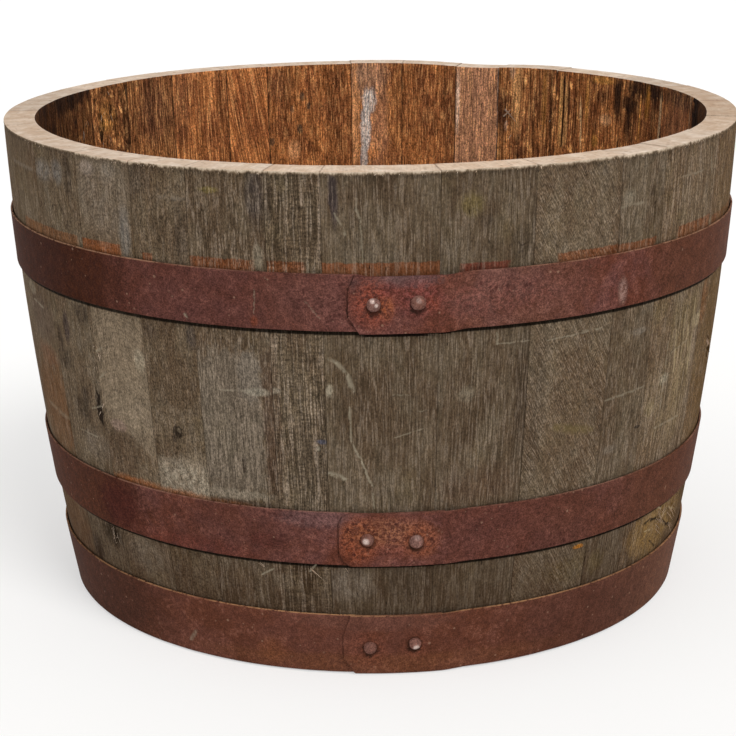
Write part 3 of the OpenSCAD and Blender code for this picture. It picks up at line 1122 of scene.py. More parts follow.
def make_piece(name: str, shape: Shape, materials: list[bpy.types.Material], slot: Slot, node: str,
               sharp: float = 40.0) -> bpy.types.Object:
    """Makes an object that rides on the cask and stands for a node.

    Args:
        name: the object's name.
        shape: its mesh.
        materials: its materials, in the order of the zones.
        slot: the record's material slot; not used.
        node: the node that it replaces.
        sharp: edges turning by more than this many degrees are shaded sharp.

    Returns:
        The object.
    """
    mesh = bpy.data.meshes.new(name)
    mesh.from_pydata(shape.corners.tolist(), [], shape.faces)
    for material in materials:
        mesh.materials.append(material)
    mesh.polygons.foreach_set("material_index", shape.zones)
    mesh.polygons.foreach_set("use_smooth", [True] * len(shape.faces))
    mesh.set_sharp_from_angle(angle=math.radians(sharp))
    mesh.update()
    piece = shown(name, mesh)
    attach(piece, BODY)
    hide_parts(node)
    LOG.info("%s: %d faces, stands for %s", name, len(shape.faces), node)
    return piece


def on_cask(turn: np.ndarray, out: np.ndarray, up: np.ndarray) -> np.ndarray:
    """Corners at those turns in radians, distances out from the axis and heights."""
    turn, out, up = np.broadcast_arrays(turn, out, up)
    return np.stack([out * np.sin(turn), -out * np.cos(turn), up], -1).reshape(-1, 3)


def node_turns(node: str) -> tuple[float, float]:
    """First and last turn, in radians, of a node of the frame.

    Args:
        node: the node's name.

    Returns:
        The two turns.
    """
    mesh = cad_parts[node].data
    flat = np.empty(3 * len(mesh.vertices))
    mesh.vertices.foreach_get("co", flat)
    points = flat.reshape(-1, 3) @ np.array(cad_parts[node].matrix_world.to_3x3()).T
    turns = np.arctan2(points[:, 0], -points[:, 1])
    middle = math.atan2(np.sin(turns).mean(), np.cos(turns).mean())
    off = np.arctan2(np.sin(turns - middle), np.cos(turns - middle))
    return middle + off.min(), middle + off.max()


def skinned(corners: np.ndarray, kinds: list[int], across: int, ends: int = 0) -> Shape:
    """Closed shape from rows of corners that follow each other round a section.

    Args:
        corners: the corners, row after row.
        kinds: material number of the faces between each row and the next.
        across: corners in a row.
        ends: material number of the two end faces.

    Returns:
        The shape.
    """
    faces, zones, rows = [], [], len(kinds)
    for row, kind in enumerate(kinds):
        after = (row + 1) % rows
        for column in range(across - 1):
            a, b = row * across + column, after * across + column
            faces.append((a, a + 1, b + 1, b))
            zones.append(kind)
    for column, turned in ((0, False), (across - 1, True)):
        ring = [row * across + column for row in range(rows)]
        faces.append(tuple(ring[::-1] if turned else ring))
        zones.append(ends)
    return Shape(corners, faces, zones)


def sliver(root: np.ndarray, tip: np.ndarray, bow: np.ndarray, width: float, zone: int) -> Shape:
    """A thin bent splinter of wood.

    Args:
        root, tip: its ends.
        bow: how far its middle is pushed aside.
        width: its width at the root.
        zone: its material number.

    Returns:
        A closed shape of three-sided rings and a point.
    """
    along = (tip - root) / max(float(np.linalg.norm(tip - root)), 1e-6)
    side = np.cross(along, (0.3, 0.5, 0.8))
    side /= np.linalg.norm(side)
    other = np.cross(along, side)
    rings = []
    for share in (0.0, 0.35, 0.7):
        middle = root + (tip - root) * share + bow * 4 * share * (1 - share)
        for third in range(3):
            angle = third * 2 * math.pi / 3
            reach = width / 2 * (1 - 0.75 * share)
            rings.append(middle + reach * (math.cos(angle) * side + 0.6 * math.sin(angle) * other))
    corners = np.array(rings + [tip])
    faces = [(2, 1, 0)]
    for ring in (0, 3):
        faces += [(ring + k, ring + (k + 1) % 3, ring + 3 + (k + 1) % 3, ring + 3 + k) for k in range(3)]
    faces += [(6 + k, 6 + (k + 1) % 3, 9) for k in range(3)]
    return Shape(corners, faces, [zone] * len(faces))


# ---- Staves ---------------------------------------------------------------


@dataclass(frozen=True)
class Dent:
    """A hollow torn or knocked into a stave, in millimetres from its middle and from the ground."""

    across: float
    up: float
    wide: float
    high: float
    deep: float
    rough: float = 0.6
    slant: float = 0.0

    def depth(self, across: np.ndarray, up: np.ndarray, noise: Noise) -> np.ndarray:
        """How far it goes in at each place, in metres.

        Args:
            across, up: places on the stave in metres.
            noise: the piece's noise.

        Returns:
            The depths.
        """
        side = across / MM - self.across + self.slant * (up / MM - self.up)
        rise = up / MM - self.up
        reach = np.hypot(side / self.wide, rise / self.high)
        torn = noise.layered(side / 2.2, rise / 9.0, 3)
        shape = smooth(reach + 0.35 * torn, 1.1, 0.35)
        return self.deep * MM * shape * (1 - self.rough / 2 + self.rough / 2 * torn)


@dataclass(frozen=True)
class Tuft:
    """Loose splinters that stand off a stave, in millimetres from its middle and from the ground."""

    across: float
    up: float
    count: int
    long: float
    spread: float = 4.0
    lift: float = 1.6
    lean: float = 0.3
    width: float = 0.7
    inside: bool = False


@dataclass(frozen=True)
class Stick:
    """A splinter across the inside of a stave, in millimetres from its middle and from the ground."""

    root: tuple[float, float]
    tip: tuple[float, float]
    width: float

    def shape(self, cask: "Cask", middle: float) -> Shape:
        """The splinter on a stave whose middle stands at a turn in radians.

        Args:
            cask: the cask's sizes.
            middle: the turn.

        Returns:
            Its closed shape.
        """
        ends = [on_cask(middle + across * MM / float(cask.inner(up * MM)), cask.inner(up * MM) - rise,
                        up * MM)[0] for (across, up), rise in ((self.root, 0.0005), (self.tip, 0.0018))]
        return sliver(ends[0], ends[1], np.zeros(3), self.width * MM, Zone.RIM.value)


@dataclass(frozen=True)
class StaveLook:
    """What sets one stave apart from the others."""

    outside: WeatheredOak = WeatheredOak()
    rim: SawnOak = SawnOak()
    inside: CaskInside = CaskInside()
    step: float = 0.5
    inset: float = 0.3
    dents: tuple[Dent, ...] = ()
    tufts: tuple[Tuft, ...] = ()
    sticks: tuple[Stick, ...] = ()


@dataclass
class Cask:
    """The sizes of the half cask that its staves, hoops and head share."""

    rim_d: float = 0.660
    base_d: float = 0.564
    height: float = 0.432
    bow: float = 0.008
    thickness: float = 0.028
    chime: float = 0.016
    chime_land: float = 0.005
    croze_z: float = 0.032
    croze_w: float = 0.006
    croze_d: float = 0.005
    howel_w: float = 0.045
    howel_d: float = 0.002
    saw_dips: tuple[tuple[float, float, float], ...] = (
        (159, 9, 0.0026), (-35, 14, 0.0005), (70, 16, 0.0006), (-110, 20, 0.0009))

    @property
    def rim_r(self) -> float:
        """Outer radius at the rim."""
        return self.rim_d / 2

    def outer(self, up: np.ndarray | float) -> np.ndarray | float:
        """Outer radius of the staves at a height.

        Args:
            up: the height.

        Returns:
            The radius.
        """
        share = up / self.height
        straight = self.base_d / 2 + (self.rim_d - self.base_d) / 2 * share
        return straight + 4 * self.bow * share * (1 - share)

    def inner(self, up: np.ndarray | float) -> np.ndarray | float:
        """Inner radius of the staves above the hollow at the head."""
        return self.outer(up) - self.thickness

    def saw_dip(self, turn: np.ndarray) -> np.ndarray:
        """How far below the full height the saw wandered, at turns in radians.

        Args:
            turn: the turns.

        Returns:
            The depths in metres.
        """
        dip = np.zeros_like(turn)
        for middle, spread, deep in self.saw_dips:
            off = np.degrees(np.arctan2(np.sin(turn - math.radians(middle)),
                                        np.cos(turn - math.radians(middle))))
            dip = dip + deep * np.exp(-((off / spread) ** 2))
        return dip

    def inside_section(self, spacing: float) -> list[tuple[float, float]]:
        """Radius and height of points down the inside, from the rim to the inner edge of the foot.

        Args:
            spacing: about how far apart the points are.

        Returns:
            The points.
        """
        croze_top = self.croze_z + self.croze_w
        howel_top = croze_top + self.howel_w
        rows = max(2, round((self.height - howel_top) / spacing))
        points = [(float(self.inner(z)), float(z)) for z in np.linspace(self.height, howel_top, rows + 1)]
        for share in np.linspace(0, 1, 11)[1:]:
            z = howel_top - self.howel_w * share
            points.append((float(self.inner(z)) + self.howel_d * share ** 2, float(z)))
        land = float(self.inner(self.croze_z)) + self.howel_d
        seat = land + self.croze_d
        points += [(seat, croze_top), (seat, self.croze_z), (land, self.croze_z),
                   (land, self.croze_z - self.chime_land)]
        points += [(self.base_d / 2 - self.chime, 0.0)]
        return points


@dataclass
class Stave:
    """One stave: a bowed board with radial joints, a sawn top and a croze groove."""

    cask: Cask
    number: int
    look: StaveLook
    spacing: float = 0.0017
    row_spacing: float = 0.0030
    inside_spacing: float = 0.004
    rim_rows: int = 11
    foot_rows: int = 3
    near_joint: float = 0.0014
    joint_gap: float = 0.0001
    eased: float = 0.00035

    @property
    def node(self) -> str:
        """Name of the stave's node in the frame."""
        return f"stave_{self.number:02d}"

    def columns(self, first: float, last: float) -> np.ndarray:
        """Turns of the columns of corners, closer together near the joints.

        Args:
            first, last: the stave's first and last turn.

        Returns:
            Turns from its middle.
        """
        half = (last - first) / 2 * self.cask.rim_r - self.joint_gap
        near = np.array([0.0, 0.00025, 0.0007])
        plain = half - self.near_joint
        inner = np.linspace(-plain, plain, max(6, round(2 * plain / self.spacing)))
        across = np.concatenate([-half + near, inner, half - near[::-1]])
        return across / self.cask.rim_r

    def surface(self) -> Shape:
        """The stave's own closed surface.

        Returns:
            The shape, with its zones.
        """
        cask, noise = self.cask, Noise(self.number)
        first, last = node_turns(self.node)
        middle, turns = (first + last) / 2, self.columns(first, last)
        heights = np.linspace(0, cask.height, round(cask.height / self.row_spacing) + 1)
        depths = cask.thickness * np.linspace(0, 1, self.rim_rows)
        section = np.array(cask.inside_section(self.inside_spacing))
        foot = np.linspace(section[-1, 0], cask.base_d / 2, self.foot_rows + 2)[1:-1, None]
        chip = self.chips(turns * cask.rim_r, noise)
        dip = cask.saw_dip(middle + turns)[None, :] + self.look.step * MM
        bands = (self.outer_face(heights, turns, chip + dip, noise),
                 self.rim_face(depths, turns, chip, dip, noise),
                 self.inner_face(section, turns, dip, noise), (foot, 0.0))
        corners = np.concatenate([on_cask(middle + turns[None, :], out, up) for out, up in bands])
        kinds = ([Zone.OUTSIDE.value] * (len(heights) - 1) + [Zone.RIM.value] * len(depths)
                 + [Zone.INSIDE.value] * (len(section) + len(foot) + 1))
        return skinned(corners, kinds, len(turns), Zone.OUTSIDE.value)

    def outer_face(self, heights: np.ndarray, turns: np.ndarray, drop: np.ndarray,
                   noise: Noise) -> tuple[np.ndarray, np.ndarray]:
        """The bowed outside with its waves, ridges and dents.

        Args:
            heights: the rows' heights.
            turns: the columns' turns from the stave's middle.
            drop: how far the saw took the rim down.
            noise: the stave's noise.

        Returns:
            Radius and height of the corners.
        """
        cask = self.cask
        across = turns[None, :] * cask.outer(heights)[:, None]
        up = np.broadcast_to(heights[:, None], across.shape)
        half = np.abs(turns).max() * cask.outer(heights)[:, None]
        wave = noise.layered(across / 0.03 + 5, up / 0.09, 3)
        ridges = noise.layered(across / 0.0042 + 9, up / 0.07, 2)
        cupped = 0.0004 * (across / half) ** 2 * noise.corner(3, 4)
        inward = self.look.inset * MM + 0.00035 * (1 + wave) / 2 + 0.00026 * (1 + ridges) / 2
        inward = inward + self.ease(np.clip(half - np.abs(across), 0, None)) + cupped
        for dent in self.look.dents:
            inward = inward + dent.depth(across, up, noise)
        return cask.outer(up) - np.clip(inward, 0, None), up - drop * self.near_rim(up)

    def rim_face(self, depths: np.ndarray, turns: np.ndarray, chip: np.ndarray, dip: np.ndarray,
                 noise: Noise) -> tuple[np.ndarray, np.ndarray]:
        """The sawn rim, from its outer edge to its inner edge.

        Args:
            depths: the rows' distances in from the outer edge.
            turns: the columns' turns from the stave's middle.
            chip: how far the outer edge is torn.
            dip: how far the saw wandered down.
            noise: the stave's noise.

        Returns:
            Radius and height of the corners.
        """
        cask = self.cask
        across = turns * cask.rim_r
        out = cask.rim_r - depths[:, None] + 0 * across[None, :]
        worn = 0.00022 * (1 + noise.layered(across[None, :] / 0.004, out / 0.004, 2)) / 2
        worn = worn + 0.5 * self.ease(np.clip(np.abs(across).max() - np.abs(across), 0, None))
        out[0] -= self.look.inset * MM + 0.0003 + chip * 0.45
        out[1] = np.minimum(out[1], out[0] - 0.0006)
        out[-1] += 0.0006
        worn[0] += 0.0001
        return out, cask.height - dip - worn

    def inner_face(self, section: np.ndarray, turns: np.ndarray, dip: np.ndarray,
                   noise: Noise) -> tuple[np.ndarray, np.ndarray]:
        """The rough inside, smooth at the groove and below it.

        Args:
            section: radius and height of the rows.
            turns: the columns' turns from the stave's middle.
            dip: how far the saw wandered down.
            noise: the stave's noise.

        Returns:
            Radius and height of the corners.
        """
        cask = self.cask
        out, up = (section[:, part, None] + 0 * turns[None, :] for part in (0, 1))
        across = turns[None, :] * out
        hewn = noise.layered(across / 0.009 + 31, up / 0.03, 3)
        scales = noise.layered(across / 0.0036 + 57, up / 0.012, 2)
        rough = 0.0007 * (1 + hewn) / 2 + 0.0008 * smooth(scales, 0.0, 0.7) * self.look.inside.scales * 2
        fade = smooth(up, cask.croze_z + cask.croze_w + 0.002, cask.croze_z + 0.03)
        edge = np.clip(np.abs(across).max(1, keepdims=True) - np.abs(across), 0, None)
        out = out + (rough + self.ease(edge)) * fade
        up = up - dip * self.near_rim(up)
        up[0] -= 0.0005
        return out, up

    def near_rim(self, up: np.ndarray) -> np.ndarray:
        """Share from 0 to 1 over the topmost part, which follows the saw's line."""
        return smooth(up, self.cask.height - 0.02, self.cask.height)

    def ease(self, edge: np.ndarray) -> np.ndarray:
        """Rounding of the long edges, by the distance from the joint."""
        inside = np.clip(self.eased - edge, 0, None)
        return self.eased - np.sqrt(np.clip(self.eased ** 2 - inside ** 2, 0, None))

    def chips(self, across: np.ndarray, noise: Noise) -> np.ndarray:
        """How far the saw tore each part of the rim's outer edge.

        Args:
            across: places along the rim in metres.
            noise: the piece's noise.

        Returns:
            The depths in metres.
        """
        coarse = (1 + noise.layered(across / 0.011 + 71, np.full_like(across, 0.5), 2)) / 2
        fine = (1 + noise.at(across / 0.0045 + 83, np.full_like(across, 1.5))) / 2
        torn = 0.2 + 0.4 * coarse * fine + 0.7 * smooth(coarse, 0.6, 0.9) * fine
        return self.look.outside.tear * MM * torn

    def splinters(self) -> list[Shape]:
        """Torn fibres along the rim, and the stave's own tufts.

        Returns:
            One closed shape for each splinter.
        """
        cask, draw = self.cask, np.random.default_rng(100 + self.number)
        first, last = node_turns(self.node)
        middle, shapes = (first + last) / 2, []
        half = (last - first) / 2 * cask.rim_r
        for _ in range(round(half / MM * 0.35 * self.look.outside.tear)):
            across = draw.uniform(-half + 0.001, half - 0.001)
            turn = middle + across / cask.rim_r
            up = (cask.height - float(cask.saw_dip(np.array(turn))) - self.look.step * MM
                  - draw.uniform(0.0008, 0.0022))
            out = cask.outer(up) - self.look.inset * MM - 0.0006
            long = draw.uniform(0.0008, 0.0012 + 0.0011 * self.look.outside.tear)
            tip_turn = turn + draw.normal(0, 0.0009) / out
            root = on_cask(turn, out, up)[0]
            tip = on_cask(tip_turn, out + 0.0002 + draw.uniform(0, 0.0005), up - long)[0]
            shapes.append(sliver(root, tip, np.zeros(3), draw.uniform(0.0004, 0.0009), Zone.RIM.value))
        for tuft in self.look.tufts:
            shapes += self.tuft(tuft, middle, draw)
        return shapes + [stick.shape(cask, middle) for stick in self.look.sticks]

    def tuft(self, tuft: Tuft, middle: float, draw: np.random.Generator) -> list[Shape]:
        """The splinters of one tuft.

        Args:
            tuft: the tuft.
            middle: turn of the stave's middle.
            draw: the stave's random numbers.

        Returns:
            One closed shape for each splinter.
        """
        shapes, cask = [], self.cask
        way = -1 if tuft.inside else 1
        for _ in range(tuft.count):
            up = tuft.up * MM + draw.normal(0, tuft.spread * MM)
            wall = float(cask.inner(up) if tuft.inside else cask.outer(up))
            turn = middle + (tuft.across * MM + draw.normal(0, tuft.spread * MM * 0.6)) / wall
            long = tuft.long * MM * draw.uniform(0.5, 1.2)
            sway = draw.normal(tuft.lean, 0.25)
            lift = tuft.lift * MM * draw.uniform(0.3, 1.0)
            root = on_cask(turn, wall - way * 0.0012, up)[0]
            tip = on_cask(turn + sway * long / wall, wall + way * lift,
                          up - long * draw.choice((1, 1, -0.6)))[0]
            limit = cask.rim_r - 0.0004
            reach = math.hypot(tip[0], tip[1])
            if reach > limit:
                tip[:2] *= limit / reach
            bow = on_cask(turn, way * 0.0006, 0.0)[0] * draw.uniform(0, 1)
            zone = draw.choice((Zone.RIM, Zone.INSIDE if tuft.inside else Zone.OUTSIDE)).value
            shapes.append(sliver(root, tip, bow, tuft.width * MM * draw.uniform(0.6, 1.2), zone))
        return shapes

    def build(self, effects: Effects) -> bpy.types.Object:
        """Makes and dresses the stave.

        Args:
            effects: the shared node groups.

        Returns:
            The object.
        """
        first, last = node_turns(self.node)
        seat, look = Seat((first + last) / 2, (last - first) / 2, 3.7 * self.number), self.look
        materials = [
            look.outside.material(f"weathered_oak_{self.number:02d}", effects, seat, self.cask.height),
            look.rim.material(f"sawn_oak_{self.number:02d}", effects, seat),
            look.inside.material(f"cask_inside_{self.number:02d}", effects, seat),
        ]
        shape = merged([self.surface()] + self.splinters())
        return make_piece(f"oak_stave_{self.number:02d}", shape, materials, Slot.STAVE, self.node)


# ---- Hoops and rivets -----------------------------------------------------


@dataclass
class Hoop:
    """A flared iron strip round the staves, lapped over itself at the front and riveted twice."""

    cask: Cask
    name: str
    foot: float
    width: float
    lap_turn: float
    pitch: float
    tail: float
    rise: float
    finish: RustedIron
    drop: float = 0.0
    lap_end: LapEnd = LapEnd.CLIPPED
    low_cut: tuple[float, float] = (0.009, 0.014)
    high_cut: tuple[float, float] = (0.006, 0.020)
    iron: float = 0.002
    fit: float = 0.0003
    lap_fit: float = 0.0002
    ramp: float = 0.024
    pucker: float = 0.0006
    seed: int = 1

    @property
    def lean(self) -> float:
        """Lean of the iron from upright, in radians."""
        return math.atan2(self.cask.outer(self.foot + self.width) - self.cask.outer(self.foot), self.width)

    @property
    def middle_r(self) -> float:
        """Radius at which lengths along the hoop are measured."""
        return float(self.cask.outer(self.foot + self.width / 2))

    def at(self, out: np.ndarray, up: np.ndarray) -> tuple[np.ndarray, np.ndarray]:
        """Radius and height of a point so far out from the inner face and up from the lower edge."""
        radius = self.cask.outer(self.foot) + self.fit + out * math.cos(self.lean) + up * math.sin(self.lean)
        return radius, self.foot - out * math.sin(self.lean) + up * math.cos(self.lean)

    def rivet_places(self) -> list[tuple[float, float]]:
        """Turn in radians and height up the strip of each rivet.

        Returns:
            Two pairs, from left to right.
        """
        middle = math.radians(self.lap_turn)
        return [(middle + side * self.pitch / 2 / self.middle_r, self.width / 2 + side * self.rise / 2)
                for side in (-1, 1)]

    def cut(self, along: np.ndarray, wide: float, high: float) -> np.ndarray:
        """How much of the strip's edge is cut away at a distance from the free end.

        Args:
            along: distances from the free end.
            wide, high: size of the cut.

        Returns:
            The cut.
        """
        short = np.clip(wide - along, 0, None)
        if self.lap_end is LapEnd.ROUNDED:
            return wide - np.sqrt(np.clip(wide ** 2 - short ** 2, 0, None))
        return high * short / wide

    def ribbon(self) -> Shape:
        """The strip's closed surface, from its free end round to the end hidden under the lap.

        Returns:
            The shape.
        """
        noise = Noise(900 + self.seed)
        lap = 2 * (self.pitch / 2 + self.tail)
        start = math.radians(self.lap_turn) - lap / 2 / self.middle_r
        total = 2 * math.pi * self.middle_r + lap
        near = np.array([0, 0.0003, 0.0008, 0.0015, 0.0025, 0.0035, 0.0045, 0.0055, 0.0065, 0.0075, 0.0085,
                         0.0095, 0.0105, 0.0115, 0.0125])
        fine = np.arange(0.014, lap + self.ramp + 0.004, 0.0011)
        along = np.concatenate([near, fine, np.linspace(fine[-1], total, round(total / 0.0028))[1:]])
        turns = start + along / self.middle_r
        lift = (self.iron + self.lap_fit) * smooth(along, lap + self.ramp, lap)
        low = self.cut(along, *self.low_cut) - self.drop * smooth(along, lap + self.ramp, lap)
        high = self.width - self.cut(along, *self.high_cut) - self.drop * smooth(along, lap + self.ramp, lap)
        high = high - (self.drop + 0.0005) * smooth(along, total - lap + 0.006, total - lap + 0.016)
        sway = 0.00035 * noise.layered(along / 0.045, along * 0, 3) * smooth(along, 0.0, 0.02)
        low = low + np.abs(sway)
        high = high - 0.0004 * np.abs(noise.layered(along / 0.06 + 40, along * 0, 2))

        out, share, shift = (part[:, None] for part in self.section().T)
        up = low[None, :] + share * (high - low)[None, :] + shift
        face = (out > 0.95 * self.iron).astype(float)
        thin = 1 - 0.25 * smooth(along, 0.0012, 0.0)[None, :]
        bulge = self.bulge(turns[None, :], up, noise)
        dents = self.dents(turns[None, :], up, noise) * face * (1 if self.pucker else 0)
        radius, height = self.at(out * thin + lift[None, :] + bulge + dents, up)
        return skinned(on_cask(turns[None, :], radius, height), [0] * len(out), len(along))

    def section(self) -> np.ndarray:
        """Points round the strip's section, with its edges broken.

        Returns:
            For each its distance out, its share of the height and its shift up.
        """
        t = self.iron
        rows = [(0.0, share, 0.0) for share in (0.96, 0.66, 0.33, 0.04)]
        rows += [(0.1 * t, 0.0, 0.0003), (0.3 * t, 0.0, 0.0), (0.72 * t, 0.0, 0.0), (0.92 * t, 0.0, 0.0002),
                 (t, 0.0, 0.0006)]
        rows += [(t, float(share), 0.0) for share in np.linspace(0, 1, 24)[1:-1]]
        rows += [(t, 1.0, -0.0006), (0.92 * t, 1.0, -0.0002), (0.72 * t, 1.0, 0.0), (0.3 * t, 1.0, 0.0),
                 (0.1 * t, 1.0, -0.0003)]
        return np.array(rows)

    def bulge(self, turn: np.ndarray, up: np.ndarray, noise: Noise) -> np.ndarray:
        """How far the whole strip stands off the staves, the same for both thicknesses at the lap.

        Args:
            turn, up: turns in radians, and heights up the strip.
            noise: the piece's noise.

        Returns:
            The distances.
        """
        x, y = np.sin(turn) * self.middle_r, np.cos(turn) * self.middle_r
        soft = noise.layered(x / 0.05 + 3, y / 0.05 + up / 0.05, 2)
        return 0.00022 * (1 + soft) / 2

    def dents(self, turn: np.ndarray, up: np.ndarray, noise: Noise) -> np.ndarray:
        """Hammered puckers round the rivets, and small dents in the outer face.

        Args:
            turn, up: turns in radians, and heights up the strip.
            noise: the piece's noise.

        Returns:
            How far the face stands out, or in where it is below 0.
        """
        x, y = np.sin(turn) * self.middle_r, np.cos(turn) * self.middle_r
        relief = -0.00012 * smooth(noise.layered(x / 0.009, y / 0.009 + up / 0.009, 2), 0.1, 0.8)
        for rivet_turn, rivet_up in self.rivet_places():
            side = np.arctan2(np.sin(turn - rivet_turn), np.cos(turn - rivet_turn)) * self.middle_r
            reach = np.hypot(side, up - rivet_up)
            ring = np.exp(-(((reach - 0.0085) / 0.0022) ** 2))
            relief = relief + self.pucker * ring * (0.7 + 0.5 * noise.at(side / 0.004, up / 0.004))
        return relief

    def upper_edge(self, w: Wiring, there: Signal) -> Signal:
        """Share of the pale line along the strip's upper edge: rust, and a painted highlight where the edge
        faces up.

        Args:
            w: the material's wiring.
            there: place on the object.

        Returns:
            The share.
        """
        z = w.split(there)[2]
        top = float(self.at(0.0, self.width)[1])
        return w.remap(z, top - 0.0012, top - 0.0003)

    def build(self, effects: Effects) -> bpy.types.Object:
        """Makes and dresses the hoop.

        Args:
            effects: the shared node groups.

        Returns:
            The object.
        """
        # The rivets' places, where the finish paints a shadow below each head.
        shadowed_rivets = tuple((turn * self.middle_r / MM, (self.foot + up) / MM) for turn, up in self.rivet_places())
        finish = replace(self.finish, rivets=shadowed_rivets)
        material = finish.material(f"{self.name}_iron", effects, 2.3 * self.seed, self.upper_edge)
        return make_piece(f"riveted_{self.name}", self.ribbon(), [material], Slot.HOOP, self.name, sharp=50)


@dataclass(frozen=True)
class RivetHead:
    """The shape of one hammered head."""

    wide: float = 0.0118
    high: float = 0.0050
    fullness: float = 0.8
    flat: float = 0.0
    tilt: float = 0.0


@dataclass
class Rivets:
    """The two rivets through one hoop's lap."""

    hoop: Hoop
    name: str
    heads: tuple[RivetHead, RivetHead]
    finish: RustedIron
    rings: int = 12
    sides: int = 40
    seed: int = 1

    def head(self, head: RivetHead, turn: float, up: float, noise: Noise) -> Shape:
        """One domed head with the top of its shank, standing square on the hoop.

        Args:
            head: its form.
            turn, up: its place on the hoop.
            noise: the piece's noise.

        Returns:
            A closed shape.
        """
        hoop = self.hoop
        base = 2 * hoop.iron + hoop.lap_fit
        angles = np.linspace(0, 2 * math.pi, self.sides, endpoint=False)
        rings = [(0.55 * head.wide / 2, -0.0006), (0.97 * head.wide / 2, -0.0006)]
        for ring in range(self.rings):
            rise = math.radians(90 * ring / self.rings)
            high = head.high * math.sin(rise) ** head.fullness
            rings.append((head.wide / 2 * math.cos(rise) ** 0.9, min(high, head.high * (1 - head.flat))))
        corners = []
        for wide, high in rings:
            lumps = noise.layered(np.cos(angles) * 1.3 + 7, np.sin(angles) * 1.3 + high / 0.002, 2)
            wobble = 1 + 0.045 * lumps
            x, y = wide * wobble * np.cos(angles), wide * wobble * np.sin(angles)
            rise = high + 0.00018 * noise.layered(x / 0.0015, y / 0.0015, 2) * (high > 0.001)
            corners.append(self.placed(turn, up, x + head.tilt * np.maximum(rise, 0), y, rise + base))
        tip = self.placed(turn, up, np.array([0.0]), np.array([0.0]),
                          np.array([rings[-1][1] + base + 0.0002]))
        points = np.concatenate(corners + [tip])
        faces = [tuple(range(self.sides))[::-1]]
        for ring in range(len(rings) - 1):
            for side in range(self.sides):
                a, b = ring * self.sides + side, ring * self.sides + (side + 1) % self.sides
                faces.append((a, b, b + self.sides, a + self.sides))
        last = (len(rings) - 1) * self.sides
        faces += [(last + k, last + (k + 1) % self.sides, len(points) - 1) for k in range(self.sides)]
        return Shape(points, faces, [0] * len(faces))

    def placed(self, turn: float, up: float, x: np.ndarray, y: np.ndarray, out: np.ndarray) -> np.ndarray:
        """Corners x along, y up and out from the hoop's inner face at a rivet's place.

        Args:
            turn, up: the rivet's place.
            x, y, out: places from there.

        Returns:
            The corners.
        """
        hoop = self.hoop
        radius, height = hoop.at(out, up + y)
        frame_x = np.array([math.cos(turn), math.sin(turn), 0.0])
        frame_out = np.array([math.sin(turn), -math.cos(turn), 0.0])
        level = radius[:, None] * frame_out + x[:, None] * frame_x
        return level + height[:, None] * np.array([0.0, 0.0, 1.0])

    def build(self, effects: Effects) -> bpy.types.Object:
        """Makes and dresses the pair.

        Args:
            effects: the shared node groups.

        Returns:
            The object.
        """
        noise = Noise(40 + self.seed)
        places = self.hoop.rivet_places()
        shape = merged([self.head(h, turn, up, noise) for h, (turn, up) in zip(self.heads, places)])
        material = self.finish.material(f"{self.name}_iron", effects, 31.0 + self.seed)
        return make_piece(f"domed_{self.name}", shape, [material], Slot.RIVET, self.name, sharp=55)


# ---- Head -----------------------------------------------------------------


